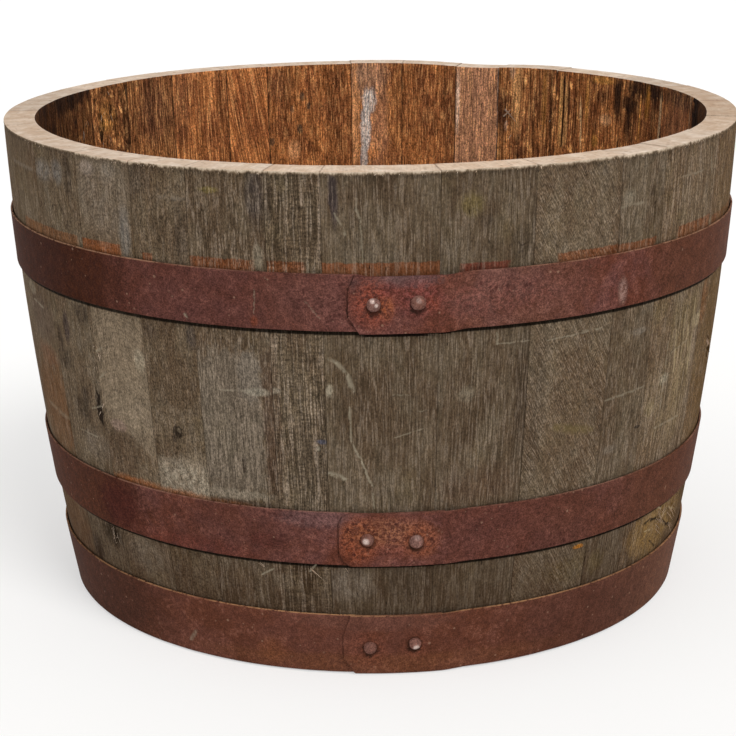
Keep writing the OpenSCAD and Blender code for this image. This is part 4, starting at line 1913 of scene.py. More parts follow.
@dataclass
class HeadBoard:
    """One board of the cask's head, which is the planter's floor."""

    cask: Cask
    number: int
    finish: HeadOak
    thickness: float = 0.022
    cant: float = 0.030
    tongue_past: float = 0.0015
    fit: float = 0.0003
    spacing: float = 0.003
    columns: int = 150
    drain_d: float = 0.020
    drains: tuple[tuple[float, float], ...] = ()

    @property
    def node(self) -> str:
        """Name of the board's node in the frame."""
        return f"head_board_{self.number}"

    def half_height(self, radius: np.ndarray) -> np.ndarray:
        """Half the head's thickness at a distance from its middle.

        Args:
            radius: the distances.

        Returns:
            The half thicknesses.
        """
        land = self.cask.inner(self.cask.croze_z) + self.cask.howel_d
        tongue = land - self.tongue_past
        thin = self.cask.croze_w / 2 - self.fit
        share = np.clip((radius - (tongue - self.cant)) / self.cant, 0, 1)
        return self.thickness / 2 + (thin - self.thickness / 2) * share

    def surface(self, low: float, high: float) -> Shape:
        """The board's closed surface between two places on Y, without its drain.

        Args:
            low, high: the places.

        Returns:
            The shape.
        """
        cask, noise = self.cask, Noise(300 + self.number)
        head_r = cask.inner(cask.croze_z) + cask.howel_d + cask.croze_d - self.fit
        middle_z = cask.croze_z + cask.croze_w / 2
        near = np.array([0.0002, 0.0006, 0.0014])
        inner = np.arange(low + self.spacing, high - self.spacing, self.spacing)
        ys = np.concatenate([low + near, inner, high - near[::-1]])
        shares = np.linspace(-1, 1, self.columns)
        reach = np.sqrt(np.clip(head_r ** 2 - ys ** 2, 1e-6, None))
        x = shares[None, :] * reach[:, None]
        y = ys[:, None] + 0 * x
        edge = np.minimum(y - low, high - y)
        worn = 0.0009 * smooth(edge, 0.0018, 0.0) + 0.0003 * (1 + noise.layered(x / 0.09, y / 0.006, 3)) / 2
        half = self.half_height(np.hypot(x, y))
        worn = worn * smooth(half, 0.004, 0.009)
        top = np.stack([x, y, middle_z + half - worn], -1).reshape(-1, 3)
        under = np.stack([x, y, middle_z - half + worn], -1).reshape(-1, 3)
        rows, columns = x.shape
        faces = []
        size = rows * columns
        for r in range(rows - 1):
            for c in range(columns - 1):
                a = r * columns + c
                faces.append((a, a + 1, a + columns + 1, a + columns))
                faces.append((size + a, size + a + columns, size + a + columns + 1, size + a + 1))
        ring = list(range(columns)) + [r * columns + columns - 1 for r in range(1, rows)]
        ring += [(rows - 1) * columns + c for c in range(columns - 2, -1, -1)]
        ring += [r * columns for r in range(rows - 2, 0, -1)]
        for a, b in zip(ring, ring[1:] + ring[:1]):
            faces.append((b, a, size + a, size + b))
        return Shape(np.concatenate([top, under]), faces, [0] * len(faces))

    def build(self, effects: Effects) -> bpy.types.Object:
        """Makes and dresses the board.

        Args:
            effects: the shared node groups.

        Returns:
            The object.
        """
        low, high = (corner[1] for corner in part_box(self.node))
        shape = self.surface(low, high)
        material = self.finish.material(f"head_oak_{self.number}", effects, 5.1 * self.number, (low, high))
        piece = make_piece(f"oak_head_board_{self.number}", shape, [material], Slot.HEAD, self.node, sharp=35)
        for drain in self.drains:
            self.drill(piece, *drain)
        return piece

    def drill(self, piece: bpy.types.Object, x: float, y: float) -> None:
        """Cuts a drain hole through the board at x, y.

        Args:
            piece: the board's object.
            x, y: the hole's middle.
        """
        sides = 48
        angles = np.linspace(0, 2 * math.pi, sides, endpoint=False)
        ring = [(x + self.drain_d / 2 * math.cos(a), y + self.drain_d / 2 * math.sin(a)) for a in angles]
        corners = [(px, py, 0.0) for px, py in ring] + [(px, py, 0.08) for px, py in ring]
        faces = [tuple(range(sides))[::-1], tuple(range(sides, 2 * sides))]
        faces += [(k, (k + 1) % sides, sides + (k + 1) % sides, sides + k) for k in range(sides)]
        mesh = bpy.data.meshes.new("drill")
        mesh.from_pydata(corners, [], faces)
        bit = shown("drill", mesh)
        cut = piece.modifiers.new("drain", "BOOLEAN")
        cut.object, cut.operation, cut.solver = bit, "DIFFERENCE", "EXACT"
        drilled = bpy.data.meshes.new_from_object(piece.evaluated_get(bpy.context.evaluated_depsgraph_get()))
        piece.modifiers.remove(cut)
        piece.data = drilled
        bpy.data.objects.remove(bit)


# ---- The planter's own looks ----------------------------------------------

OUTSIDE_LOOKS: dict[int, WeatheredOak] = {
    1: WeatheredOak(tone=0.86, lines=0.9, length=0.018, tear=1.1, marks=(
        rust_stain(-47, 47), Patch(-36, 412, 3.4, 22, paint(60, 51, 52), 0.8, slant=0.05),
        # Painted shadow under the upper hoop's lap.
        Patch(11, 301.9, 29, 1.25, SOOT_AND_SHADOW, 1.0, soft=0.25, ragged=0.04, square=1.0),
        Scratch(-35, 400, -27, 383, 1.5, 0.6), Scratch(-18, 411, -19, 404, 1.1, 0.5),
        Scratch(-19, 404, -15, 393, 1.2, 0.6), Scratch(-15, 391, -14, 360, 1.0, 0.5),
        Scratch(-43, 283, -34, 280, 1.9, 0.65), Scratch(-34.5, 280, -26.5, 269, 2.3, 0.75),
        Scratch(-26.5, 269.5, -22, 256, 2.6, 0.8), Scratch(-42, 185, -29, 180.5, 3.0, 1.0),
        Patch(-41, 256, 3, 5, PALE_WOOD, 0.65), Scratch(-25, 243, -24.2, 212, 1.2, 0.75),
        Scratch(-24.4, 213, -15.4, 195, 1.3, 0.85), Scratch(-15.8, 196, -7.5, 173, 1.2, 0.85),
        Scratch(-7.8, 174, -6.2, 154, 1.1, 0.75), Scratch(10, 216, 33, 223, 0.8, 0.55),
        Scratch(9, 252.5, 22, 252, 0.7, 0.4), Scratch(29, 238, 37, 238.4, 0.8, 0.4),
        Patch(-27, 85, 21, 15, paint(134, 122, 108), 0.75, 0.6, ragged=0.9),
        Patch(20, 86, 22, 18, DARK_WOOD, 0.3),
    )),
    2: WeatheredOak(tone=0.86, lines=0.88, length=0.018, tear=0.9, marks=(
        rust_stain(-22, 17, 357.4, RED_STAIN, 0.9), Patch(-14, 404, 9, 8, MOSS, 0.5, soft=0.6),
        # Painted shadow under the upper hoop's lap.
        Patch(-34, 302.7, 6, 1.2, SOOT_AND_SHADOW, 1.0, soft=0.25, ragged=0.04, square=1.0),
        Patch(38, 290, 3, 120, DARK_WOOD, 0.35, 0.4, soft=0.5), Patch(-1, 390, 5, 5, DIM_WOOD, 0.5),
        Patch(27, 370, 9, 15, DARK_WOOD, 0.5, 0.3), Scratch(24, 372, 28, 369, 1.0, 0.9, SOOT_AND_SHADOW),
        Scratch(28, 369, 33, 371, 1.0, 0.9, SOOT_AND_SHADOW), Scratch(28, 365, 30, 358, 1.0, 0.8, SOOT_AND_SHADOW),
        Scratch(9, 299, 10, 290, 1.6, 0.6), Scratch(9, 290, 38, 290, 0.8, 0.5),
        Patch(-14, 250, 7, 6, PALE_WOOD, 0.35, 0.5), Patch(33, 240, 6, 60, DARK_WOOD, 0.4, soft=0.7),
        Patch(0, 170, 30, 16, paint(96, 72, 58), 0.35, soft=0.6),
    )),
    3: WeatheredOak(tone=1.07, lines=0.72, slant=0.55, wave=0.008, width=0.0009, length=0.008, grit=1.4,
                    tear=1.2, marks=(
        rust_stain(-18, 42, 359.0, strength=0.85), Scratch(-26, 288, 29, 291, 0.9, 0.6),
        Scratch(5, 292, 26, 290, 1.1, 0.5), Scratch(-11, 212, 27, 203, 5.5, 0.55, MOSS),
        Scratch(22, 425, 33, 402, 1.5, 0.8, DARK_WOOD), Patch(31, 217, 3, 7, DARK_WOOD, 0.5, 0.5),
        Patch(28, 95.5, 5, 1.9, paint(172, 112, 44), 0.95, soft=0.2),
        Patch(18, 76, 22, 11, MOSS, 0.22, soft=0.6), Patch(-30, 230, 8, 80, DIM_WOOD, 0.35, soft=0.7),
    )),
    4: WeatheredOak(tone=0.98, warmth=-0.01, lines=0.8, grit=1.1, tear=1.7, moss=0.08, marks=(
        rust_stain(-26, 18, 358.4, strength=0.8), Scratch(-26, 226, 26, 229, 1.3, 0.55),
        Patch(9, 280, 9, 3, GREY_WOOD, 0.6, 0.4), Patch(21, 193, 4, 1.4, SOOT_AND_SHADOW, 0.8, soft=0.25),
        Patch(-12, 180, 9, 4, GREY_WOOD, 0.4, 0.5), Patch(-17, 396, 7, 6, PALE_WOOD, 0.4, 0.4),
        Scratch(-26, 389, 0, 390, 1.4, 0.5), Patch(10, 398, 3, 5, DARK_WOOD, 0.6, 0.4),
        Patch(-10, 75, 9, 10, MOSS, 0.3, soft=0.6),
    )),
    5: WeatheredOak(tone=1.13, warmth=0.05, lines=1.15, grit=1.4, width=0.001, length=0.024, moss=0.4,
                    tear=1.5, marks=(
        rust_stain(-20, 39, 361.6, paint(124, 74, 44), 0.85),
        Patch(14, 226, 18, 60, paint(160, 136, 96), 0.4, 0.6, soft=0.6),
        Scratch(-20, 185, 25, 185, 1.4, 0.65), Patch(-15, 228, 7, 5, PALE_WOOD, 0.6, 0.3),
        Patch(38, 270, 10, 6, TAN_WOOD, 0.65), Patch(-32, 205, 8, 7, MOSS, 0.45, 0.3),
        Scratch(-22, 403, 18, 403, 1.4, 0.5), Scratch(30, 420, 36, 398, 2.0, 0.5),
        Patch(14, 82, 42, 24, paint(166, 130, 76), 0.85, 0.4), Scratch(-9, 91.3, 1.5, 92.5, 1.8, 1.3, SOOT_AND_SHADOW),
        Scratch(1, 92.5, 18, 89, 2.4, 1.45, SOOT_AND_SHADOW), Scratch(17.5, 89.3, 42, 76, 2.2, 1.4, SOOT_AND_SHADOW),
        Scratch(9, 70.6, 23.5, 59, 1.5, 1.3, SOOT_AND_SHADOW), Scratch(6, 103, 24, 97, 1.2, 1.2, TAN_WOOD),
        Scratch(-6, 84, 12, 80, 1.0, 1.0, TAN_WOOD), Scratch(20, 84, 38, 92, 1.2, 1.2, TAN_WOOD),
        Scratch(-8, 250, 20, 255, 1.0, 0.5), Scratch(19.3, 268, 33.5, 215, 1.6, 1.1, TAN_WOOD),
        Scratch(-3.5, 269, 1.4, 230, 1.5, 1.0, TAN_WOOD), Scratch(28, 290, 31, 232, 1.4, 1.0, TAN_WOOD),
        Scratch(10, 282, 13, 208, 1.2, 0.8, TAN_WOOD), Scratch(-16, 262, -14, 200, 0.9, 0.6),
        Scratch(8, 290, 9, 240, 1.0, 0.6, DARK_WOOD),
    )),
    6: WeatheredOak(tone=1.0, warmth=0.14, lines=0.9, grit=1.5, moss=0.3, tear=1.4, marks=(
        rust_stain(-44, 44, 359.0, strength=0.65), Patch(-36, 282, 10, 18, paint(120, 76, 44), 0.6),
        Patch(-30, 86, 26, 18, paint(166, 130, 76), 0.75, 0.4), Scratch(-46, 78, -25, 70.5, 2.2, 1.4, SOOT_AND_SHADOW),
        Scratch(-40, 92, -20, 84, 1.2, 1.2, TAN_WOOD),
        Patch(10, 210, 40, 180, paint(98, 72, 38), 0.8, soft=0.7),
    )),
    22: WeatheredOak(tone=0.9, warmth=0.12, tear=0.7),
    23: WeatheredOak(tone=0.94, warmth=0.02, lines=0.7, tear=0.5, marks=(
        rust_stain(5, 47, 361.0, paint(120, 78, 46), 0.7), Patch(-5, 295, 11, 6, PALE_WOOD, 0.5, 0.5),
        Scratch(-4, 285, 23, 283, 1.5, 0.7), Patch(12, 272, 32, 20, paint(90, 74, 64), 0.45),
        Patch(16, 239, 26, 10, paint(118, 72, 50), 0.4, 0.5), Patch(14, 192, 48, 44, WARM_WOOD, 0.7),
        Scratch(-12, 189, 44, 187, 3.0, 0.35), Scratch(-20, 406, 44, 406, 2.6, 0.5, GREY_WOOD),
        Patch(0, 80, 42, 28, paint(108, 78, 54), 0.7),
    )),
    24: WeatheredOak(tone=0.97, lines=0.6, grit=1.4, wave=0.01, lichen=0.5, tear=0.7, marks=(
        rust_stain(-33, 28, 361.0, paint(116, 74, 44), 0.7), Patch(-24, 262, 5, 12, DARK_WOOD, 0.85, 0.4),
        Patch(-9, 276, 5, 14, paint(58, 46, 44), 0.9, 0.3), Patch(27, 211, 4, 16, SOOT_AND_SHADOW, 0.95, ragged=0.9),
        Patch(0, 205, 13, 11, DARK_WOOD, 0.7, 0.5), Patch(8, 218, 6, 8, DARK_WOOD, 0.7, 0.3),
        Patch(20, 293, 10, 9, DARK_WOOD, 0.8, 0.4), Patch(-20, 245, 14, 9, DARK_WOOD, 0.65, 0.4),
        Scratch(14, 208, 31, 214, 1.1, 0.7), Scratch(-12, 183, 20, 183, 1.0, 0.6),
        Patch(-20, 409, 15, 9, paint(128, 122, 116), 0.6, 0.6),
        Patch(5, 411, 8, 10, paint(112, 112, 110), 0.5, 0.4), Patch(21, 409, 6, 18, DARK_WOOD, 0.7, 0.3),
        Scratch(3, 386, 19, 361, 3.0, 0.8, DARK_WOOD), Patch(13, 92, 14, 11, paint(46, 40, 30), 0.8),
        Patch(-20, 68, 8, 13, SOOT_AND_SHADOW, 0.7), Patch(12, 175, 20, 14, GREY_WOOD, 0.35, 0.5),
    )),
    25: WeatheredOak(tone=1.05, lines=0.5, grit=1.3, ripple=0.14, lichen=0.4, tear=1.5, marks=(
        Patch(0, 254, 32, 54, SILVER_WOOD, 0.7, soft=0.22, ragged=0.35, square=0.6),
        Patch(16, 206, 22, 26, SILVER_WOOD, 0.6, soft=0.2, ragged=0.3, slant=1.0, square=0.8),
        Patch(-10, 178, 24, 20, paint(82, 65, 50), 0.6, soft=0.3),
        Patch(-12, 201, 10, 5, paint(144, 120, 108), 0.55), Patch(24, 265, 6, 9, PALE_WOOD, 0.6, 0.5),
        Patch(-17, 420, 9, 6, paint(138, 124, 114), 0.6, 0.4), Patch(8, 421, 8, 6, GREY_WOOD, 0.5, 0.5),
        Patch(22, 371, 6, 22, BLUE_GREY, 0.6, 0.3), Scratch(-32, 262, -20, 268, 1.5, 0.7),
        Scratch(-32, 238, -20, 246, 1.3, 0.7), Scratch(-24, 272, -20, 258, 1.6, 0.7, DARK_WOOD),
        rust_stain(-32, 15, 361.0, paint(124, 72, 40), 0.9), Patch(0, 400, 32, 34, GREY_WOOD, 0.4, 0.5),
        Patch(0, 84, 26, 16, GREY_WOOD, 0.3, 0.5),
        Patch(4, 151, 32, 5, paint(146, 84, 42), 0.75, 0.3, soft=0.5),
    )),
    26: WeatheredOak(tone=0.92, warmth=0.01, lines=0.5, grit=1.6, tear=1.5, marks=(
        rust_stain(-19, -9, 358.0, strength=0.75), Patch(22, 292, 5, 10, paint(68, 61, 59), 0.6, 0.3),
        Patch(-19, 292, 9, 8, DIM_WOOD, 0.5, 0.4), Patch(0, 250, 30, 24, paint(84, 66, 49), 0.5, soft=0.5),
        Patch(0, 208, 4.6, 5.4, SOOT_AND_SHADOW, 0.8, soft=0.25),
        Patch(1, 209, 2.0, 2.4, paint(112, 98, 80), 0.8, soft=0.3), Patch(-4, 201, 2.2, 3.4, DARK_WOOD, 0.8),
        Patch(2, 165, 30, 19, paint(152, 140, 122), 0.85, 0.5, soft=0.35, square=0.5),
        Patch(18, 185, 10, 8, SILVER_WOOD, 0.5, 0.5), Scratch(2, 405, 24, 405, 2.6, 0.5, GREY_WOOD),
        Patch(20, 375, 6, 26, DIM_WOOD, 0.6, 0.2), Patch(-20, 418, 10, 14, DIM_WOOD, 0.5),
        Patch(-4, 150, 32, 5, paint(146, 84, 42), 0.75, 0.3, soft=0.5),
    )),
    27: WeatheredOak(tone=0.97, lines=1.0, grit=1.3, moss=0.2, tear=1.4, marks=(
        rust_stain(-33, 20, 360.2, strength=0.85),
        Patch(-5, 222, 28, 64, paint(120, 110, 97), 0.5, soft=0.14, ragged=0.3, square=0.85),
        Patch(28, 222, 5, 62, paint(80, 58, 47), 0.5, soft=0.35, square=1.0),
        Patch(3, 186, 1.8, 7, DARK_WOOD, 0.8), Patch(13, 264, 10, 22, GREY_WOOD, 0.5, soft=0.2),
        Patch(19, 251.5, 10, 3.2, paint(160, 152, 134), 0.65, 0.3, ragged=0.4),
        Scratch(-16, 250.7, 12, 252, 1.0, 0.6), Patch(-13, 414, 8, 2.6, MOSS, 0.75),
        Patch(25, 412, 8, 22, paint(62, 55, 54), 0.7, 0.3), Patch(26, 364, 4, 10, PALE_WOOD, 0.5, 0.4),
        Patch(-4, 160, 29, 4.6, paint(150, 138, 120), 0.65, 0.4, ragged=0.8),
        Patch(-4, 153, 29, 2.4, DIM_WOOD, 0.6), Scratch(10, 88, 21, 95, 1.2, 0.85),
        Patch(25, 84, 6, 6.5, paint(120, 106, 88), 0.6, square=1.0),
        Patch(-18, 149, 26, 4.4, paint(138, 80, 42), 0.6, 0.4, soft=0.5),
    )),
    28: WeatheredOak(tone=0.98, warmth=-0.01, lines=1.25, grit=1.5, length=0.03, wave=0.007, width=0.0012,
                     hatch=0.24, lichen=0.1, tear=1.2, marks=(
        rust_stain(-22, 8, 360.4, strength=0.85), Patch(18, 212, 5, 1.9, paint(70, 78, 100), 0.75),
        Patch(14, 206, 1.8, 2.2, PALE_WOOD, 0.85, soft=0.3),
        Patch(-20, 254, 5, 2.6, paint(160, 152, 134), 0.7, 0.3, ragged=0.4),
        Patch(-19, 222, 4, 58, paint(80, 58, 47), 0.35, soft=0.5), Patch(-19, 412, 3, 20, DIM_WOOD, 0.5),
        Scratch(2, 95, 8, 102, 1.2, 0.85), Patch(-18, 84, 4, 6.5, paint(120, 106, 88), 0.55, square=1.0),
        Patch(10, 190, 14, 40, DIM_WOOD, 0.3),
    )),
}

PALE_BAND = paint(190, 146, 116)
SILVER = paint(214, 204, 196)
GOLD = paint(214, 150, 74)
CHAR = paint(36, 24, 18)
INSIDE_LOOKS: dict[int, CaskInside] = {
    # Staves 5-7 and 20-24 are made dark by low tones and heavy soot: partly char, partly painted shade at the
    # inside's ends.
    5: CaskInside(tone=0.78, soot=0.4, length=0.024), 6: CaskInside(tone=0.5, soot=0.7, length=0.02),
    7: CaskInside(tone=0.2, soot=0.9),
    8: CaskInside(tone=0.9, warmth=0.05, lines=0.9, soot=0.4, scales=0.5, length=0.03, marks=(
        Patch(8, 425, 40, 10, CHAR, 0.9, 0.4),
        Patch(-40, 390, 12, 90, paint(24, 16, 12), 0.95, soft=0.1, square=1),
        Patch(12, 395, 30, 30, paint(152, 104, 82), 0.4, soft=0.5),
        Patch(-24, 385, 6, 60, paint(60, 38, 28), 0.6, 0.3),
        Patch(-19.5, 385, 1.1, 60, paint(206, 168, 130), 0.8, soft=0.2, square=1),
    )),
    9: CaskInside(tone=0.94, warmth=0.05, lines=0.95, soot=0.4, scales=0.5, gold=0.9, width=0.0014,
                  length=0.028, marks=(
        Patch(20, 408, 13, 9, CHAR, 0.95, 0.2, ragged=0.7),
        Patch(21.5, 388, 5, 16, CHAR, 0.85, 0.3, ragged=0.7),
        Patch(-6, 424, 38, 9, CHAR, 0.92, 0.25, ragged=0.8),
        Patch(-32.5, 394, 1.7, 26, paint(236, 196, 150), 0.95, soft=0.15, square=1),
        Patch(-20, 400, 4, 26, CHAR, 0.5, 0.4), Patch(-9, 412, 4, 16, paint(196, 130, 50), 0.75, 0.3),
        Patch(3, 396, 1.6, 24, GOLD, 0.6, 0.3),
    )),
    10: CaskInside(tone=1.0, warmth=0.08, lines=0.95, soot=0.35, scales=0.5, gold=1.0, width=0.0014,
                   length=0.03, marks=(
        Patch(-39, 412, 6, 22, CHAR, 0.95, 0.1), Patch(-17, 409, 8, 7, CHAR, 0.6, 0.4),
        Patch(-18, 426.5, 15, 3.6, GOLD, 0.85, 0.3),
        Patch(-23.5, 387.5, 8, 5.5, paint(216, 162, 116), 0.8, 0.2), Patch(-10, 365, 4, 6, GOLD, 0.85, 0.3),
        Patch(10, 378, 1.5, 26, paint(230, 182, 130), 0.95, soft=0.2, slant=-0.07),
        Patch(36.5, 392, 2.2, 34, paint(226, 166, 100), 0.8, soft=0.2, square=1),
        Patch(33, 392, 1.3, 36, CHAR, 0.85, soft=0.2, square=1),
        Patch(30, 390, 1.9, 30, paint(222, 164, 104), 0.75, soft=0.2, square=1),
        Patch(26.5, 396, 1.4, 26, CHAR, 0.7, soft=0.3), Patch(3, 404, 2.4, 22, GOLD, 0.6, 0.3),
        Patch(18, 398, 2.2, 30, paint(96, 52, 26), 0.6, 0.3),
    )),
    11: CaskInside(tone=1.1, warmth=0.03, lines=1.0, soot=0.3, gold=0.9, scales=0.5, width=0.0013,
                   length=0.03, marks=(
        Patch(13.5, 399, 4.6, 32, paint(240, 178, 116), 0.85, 0.45, soft=0.25, ragged=0.8, square=1),
        Patch(18, 428, 3, 8, PALE_BAND, 0.8), Patch(28, 382, 6, 26, paint(64, 38, 30), 0.8, 0.3),
        Patch(24, 370, 2, 5, PALE_BAND, 0.8), Patch(-3, 398, 1.8, 34, paint(66, 36, 22), 0.7, 0.3),
        Patch(-8, 392, 1.6, 36, paint(66, 36, 22), 0.75, 0.3),
        Patch(-13, 400, 2, 30, paint(66, 36, 22), 0.65, 0.3), Patch(-29, 390, 2, 60, CHAR, 0.6, soft=0.3),
        Patch(-20, 400, 3, 30, GOLD, 0.5, 0.4),
    )),
    12: CaskInside(tone=1.3, lines=0.7, scales=0.5, soot=0.0, gold=0.1, length=0.022, marks=(
        Patch(0, 380, 30, 80, paint(200, 148, 116), 0.62, soft=0.3, square=1),
        Patch(21, 392, 2.4, 30, paint(222, 192, 168), 0.75, 0.4),
        Patch(-24, 380, 1.0, 80, SILVER, 0.5, soft=0.2, square=1),
    )),
    13: CaskInside(tone=1.12, warmth=0.07, lines=0.85, soot=0.2, gold=0.1, marks=(
        Patch(-22, 385, 8, 60, paint(92, 54, 34), 0.6, 0.4, soft=0.6),
    )),
    14: CaskInside(tone=1.08, warmth=0.04, lines=0.8, soot=0.1, marks=(
        Patch(12, 415, 20, 22, PALE_BAND, 0.75, 0.3),
        Patch(23, 372, 4.5, 56, paint(226, 156, 104), 0.85, soft=0.3),
        Patch(0, 380, 12, 60, paint(196, 140, 108), 0.4), Patch(8, 392, 7, 13, SILVER, 0.9, 0.35, soft=0.3),
        Patch(12, 364, 5.5, 28, SILVER, 0.9, 0.25, soft=0.3),
        Patch(14, 330, 4, 14, SILVER, 0.75, 0.3, soft=0.3), Patch(4, 336, 6, 6, paint(206, 130, 76), 0.6),
    )),
    15: CaskInside(tone=1.14, warmth=0.08, lines=0.85, scales=0.5, soot=0.1, marks=(
        Patch(-34, 380, 12, 60, paint(112, 66, 40), 0.5, 0.3, soft=0.6),
        Patch(8, 399, 2.4, 4, DIM_WOOD, 0.8), Patch(1, 388, 2.0, 4, DIM_WOOD, 0.8),
        Patch(11, 364, 3.2, 5, DIM_WOOD, 0.8), Patch(19, 385, 2.4, 4, DIM_WOOD, 0.7),
        Patch(42, 352, 3, 5, DIM_WOOD, 0.7), Patch(18, 342, 7, 10, paint(226, 160, 110), 0.75, 0.3),
        Patch(30, 410, 14, 16, paint(124, 82, 56), 0.4),
    )),
    16: CaskInside(tone=1.4, warmth=0.1, lines=0.8, width=0.001, length=0.035, slant=-0.15, soot=0.0,
                   scales=0.2),
    17: CaskInside(tone=1.32, warmth=0.07, lines=0.85, width=0.0011, length=0.026, soot=0.1, scales=0.25,
                   marks=(
        Patch(24, 400, 10, 40, paint(110, 72, 54), 0.45, soft=0.6),
    )),
    18: CaskInside(tone=1.0, lines=1.1, length=0.022, soot=0.2, marks=(
        Patch(-10, 395, 24, 30, paint(112, 74, 58), 0.5, 0.3, soft=0.6),
    )),
    19: CaskInside(tone=1.04, lines=0.9, length=0.008, scales=1.4, soot=0.5, gold=1.0, marks=(
        Patch(11, 392, 3, 5, CHAR, 0.9), Patch(15, 382, 3, 5, CHAR, 0.9),
        Patch(4, 400, 14, 16, GOLD, 0.5, 0.7), Patch(-24, 400, 5, 40, CHAR, 0.6, 0.4),
    )),
    20: CaskInside(tone=0.6, soot=0.8, scales=0.6, length=0.024, gold=0.6, marks=(
        Patch(10, 428, 40, 12, CHAR, 0.9, 0.3), Patch(20, 390, 26, 60, paint(34, 20, 10), 0.6, 0.5),
    )),
    # Dark tones and heavy soot: partly char, partly painted shade at the inside's ends.
    21: CaskInside(tone=0.2, soot=0.9), 22: CaskInside(tone=0.3, soot=0.9),
    23: CaskInside(tone=0.5, soot=0.7), 24: CaskInside(tone=0.76, soot=0.4),
}

DENTS: dict[int, tuple[Dent, ...]] = {
    1: (Dent(-29, 266, 3, 12, 0.5, slant=0.4), Dent(-40, 183, 7, 3, 0.5)),
    5: (Dent(24, 84, 22, 4, 2.4, 0.9, slant=0.0), Dent(13, 67, 12, 3, 1.4), Dent(10, 92, 26, 12, 1.2, 1.0)),
    6: (Dent(-34, 84, 16, 12, 2.2, 0.9), Dent(12, 225, 8, 30, 1.2, 0.9)),
    24: (Dent(27, 211, 4, 14, 1.6, 0.9), Dent(-24, 262, 5, 12, 0.9, 0.9), Dent(-9, 276, 4, 12, 0.9, 0.9),
         Dent(2, 207, 12, 12, 0.8, 1.0), Dent(13, 92, 12, 9, 1.8, 0.9)),
    25: (Dent(-26, 262, 3, 20, 1.0, 0.9), Dent(-10, 180, 20, 18, 0.5, 0.5)),
    26: (Dent(0, 208, 3.4, 4, 1.6),),
}

TUFTS: dict[int, tuple[Tuft, ...]] = {
    1: (Tuft(-30, 100, 4, 5, 4, 1.0),),
    5: (Tuft(20, 86, 26, 10, 7, 1.8, 0.8), Tuft(17, 100, 9, 8, 3, 1.8, 0.5)),
    6: (Tuft(-30, 84, 24, 9, 7, 2.0, 0.6), Tuft(0, 242, 5, 6, 3, 1.6, 0.0, 2.4),
        Tuft(9, 228, 6, 7, 4, 1.8, 0.0, 2.6)),
    11: (Tuft(13, 392, 8, 6, 12, 1.6, 0.3, 0.9, True), Tuft(-8, 380, 7, 6, 22, 1.4, 0.1, 0.8, True)),
    19: (Tuft(6, 394, 18, 11, 12, 2.4, 0.3, 1.0, True),),
    20: (Tuft(-20, 396, 10, 9, 12, 2.0, 0.3, 0.9, True),),
    24: (Tuft(27, 214, 8, 6, 9, 1.4), Tuft(14, 92, 18, 9, 5, 2.2, 0.8), Tuft(30, 262, 7, 6, 10, 1.4, 0.6)),
    25: (Tuft(-28, 262, 6, 6, 8, 1.4, 0.6),),
    27: (Tuft(15, 91, 3, 12, 2, 1.8, -0.9, 0.9),),
    28: (Tuft(4, 99, 4, 8, 2, 1.8, 0.9, 0.9),),
}

STICKS = {11: (Stick((25.5, 387.6), (9.0, 373.1), 3.4), Stick((26.7, 379.7), (16.9, 388.2), 2.2))}
RIM_STEPS = {1: 0.3, 2: 0.2, 3: 0.3, 4: 0.9, 5: 0.4, 6: 1.0, 11: 0.1, 12: 0.6, 13: 0.3, 14: 0.2, 28: 0.5,
             27: 0.3}
RIM_TONES = {5: 0.95, 6: 0.84, 7: 0.74, 8: 0.75, 9: 0.84, 20: 0.84, 21: 0.84, 22: 0.86, 23: 0.88, 24: 0.94}
RIM_PINK = {28: 0.03, 1: 0.02, 2: 0.04, 3: 0.03, 6: 0.05, 7: 0.08, 8: 0.06, 22: 0.03, 23: 0.03}
INSETS = {4: 0.1, 5: 0.0, 6: 0.0, 7: 0.0, 21: 0.0, 22: 0.0, 23: 0.0}
BOARDS = 7
DRAINS = {2: ((0.09, -0.156439),), 4: ((0.0, -0.001009),), 6: ((-0.09, 0.157448),)}

RUSTY = paint(108, 56, 38)
RED_RUST = paint(98, 48, 40)
# Painted highlight colour for the rivet heads.
GLINT = paint(214, 192, 182)
# SHADED paints shade on the hoops' left ends; SUNNY paints the tone of their right ends under the key lamp.
SHADED = paint(57, 28, 14)
SUNNY = paint(86, 52, 37)
BLOOD = paint(66, 30, 26)


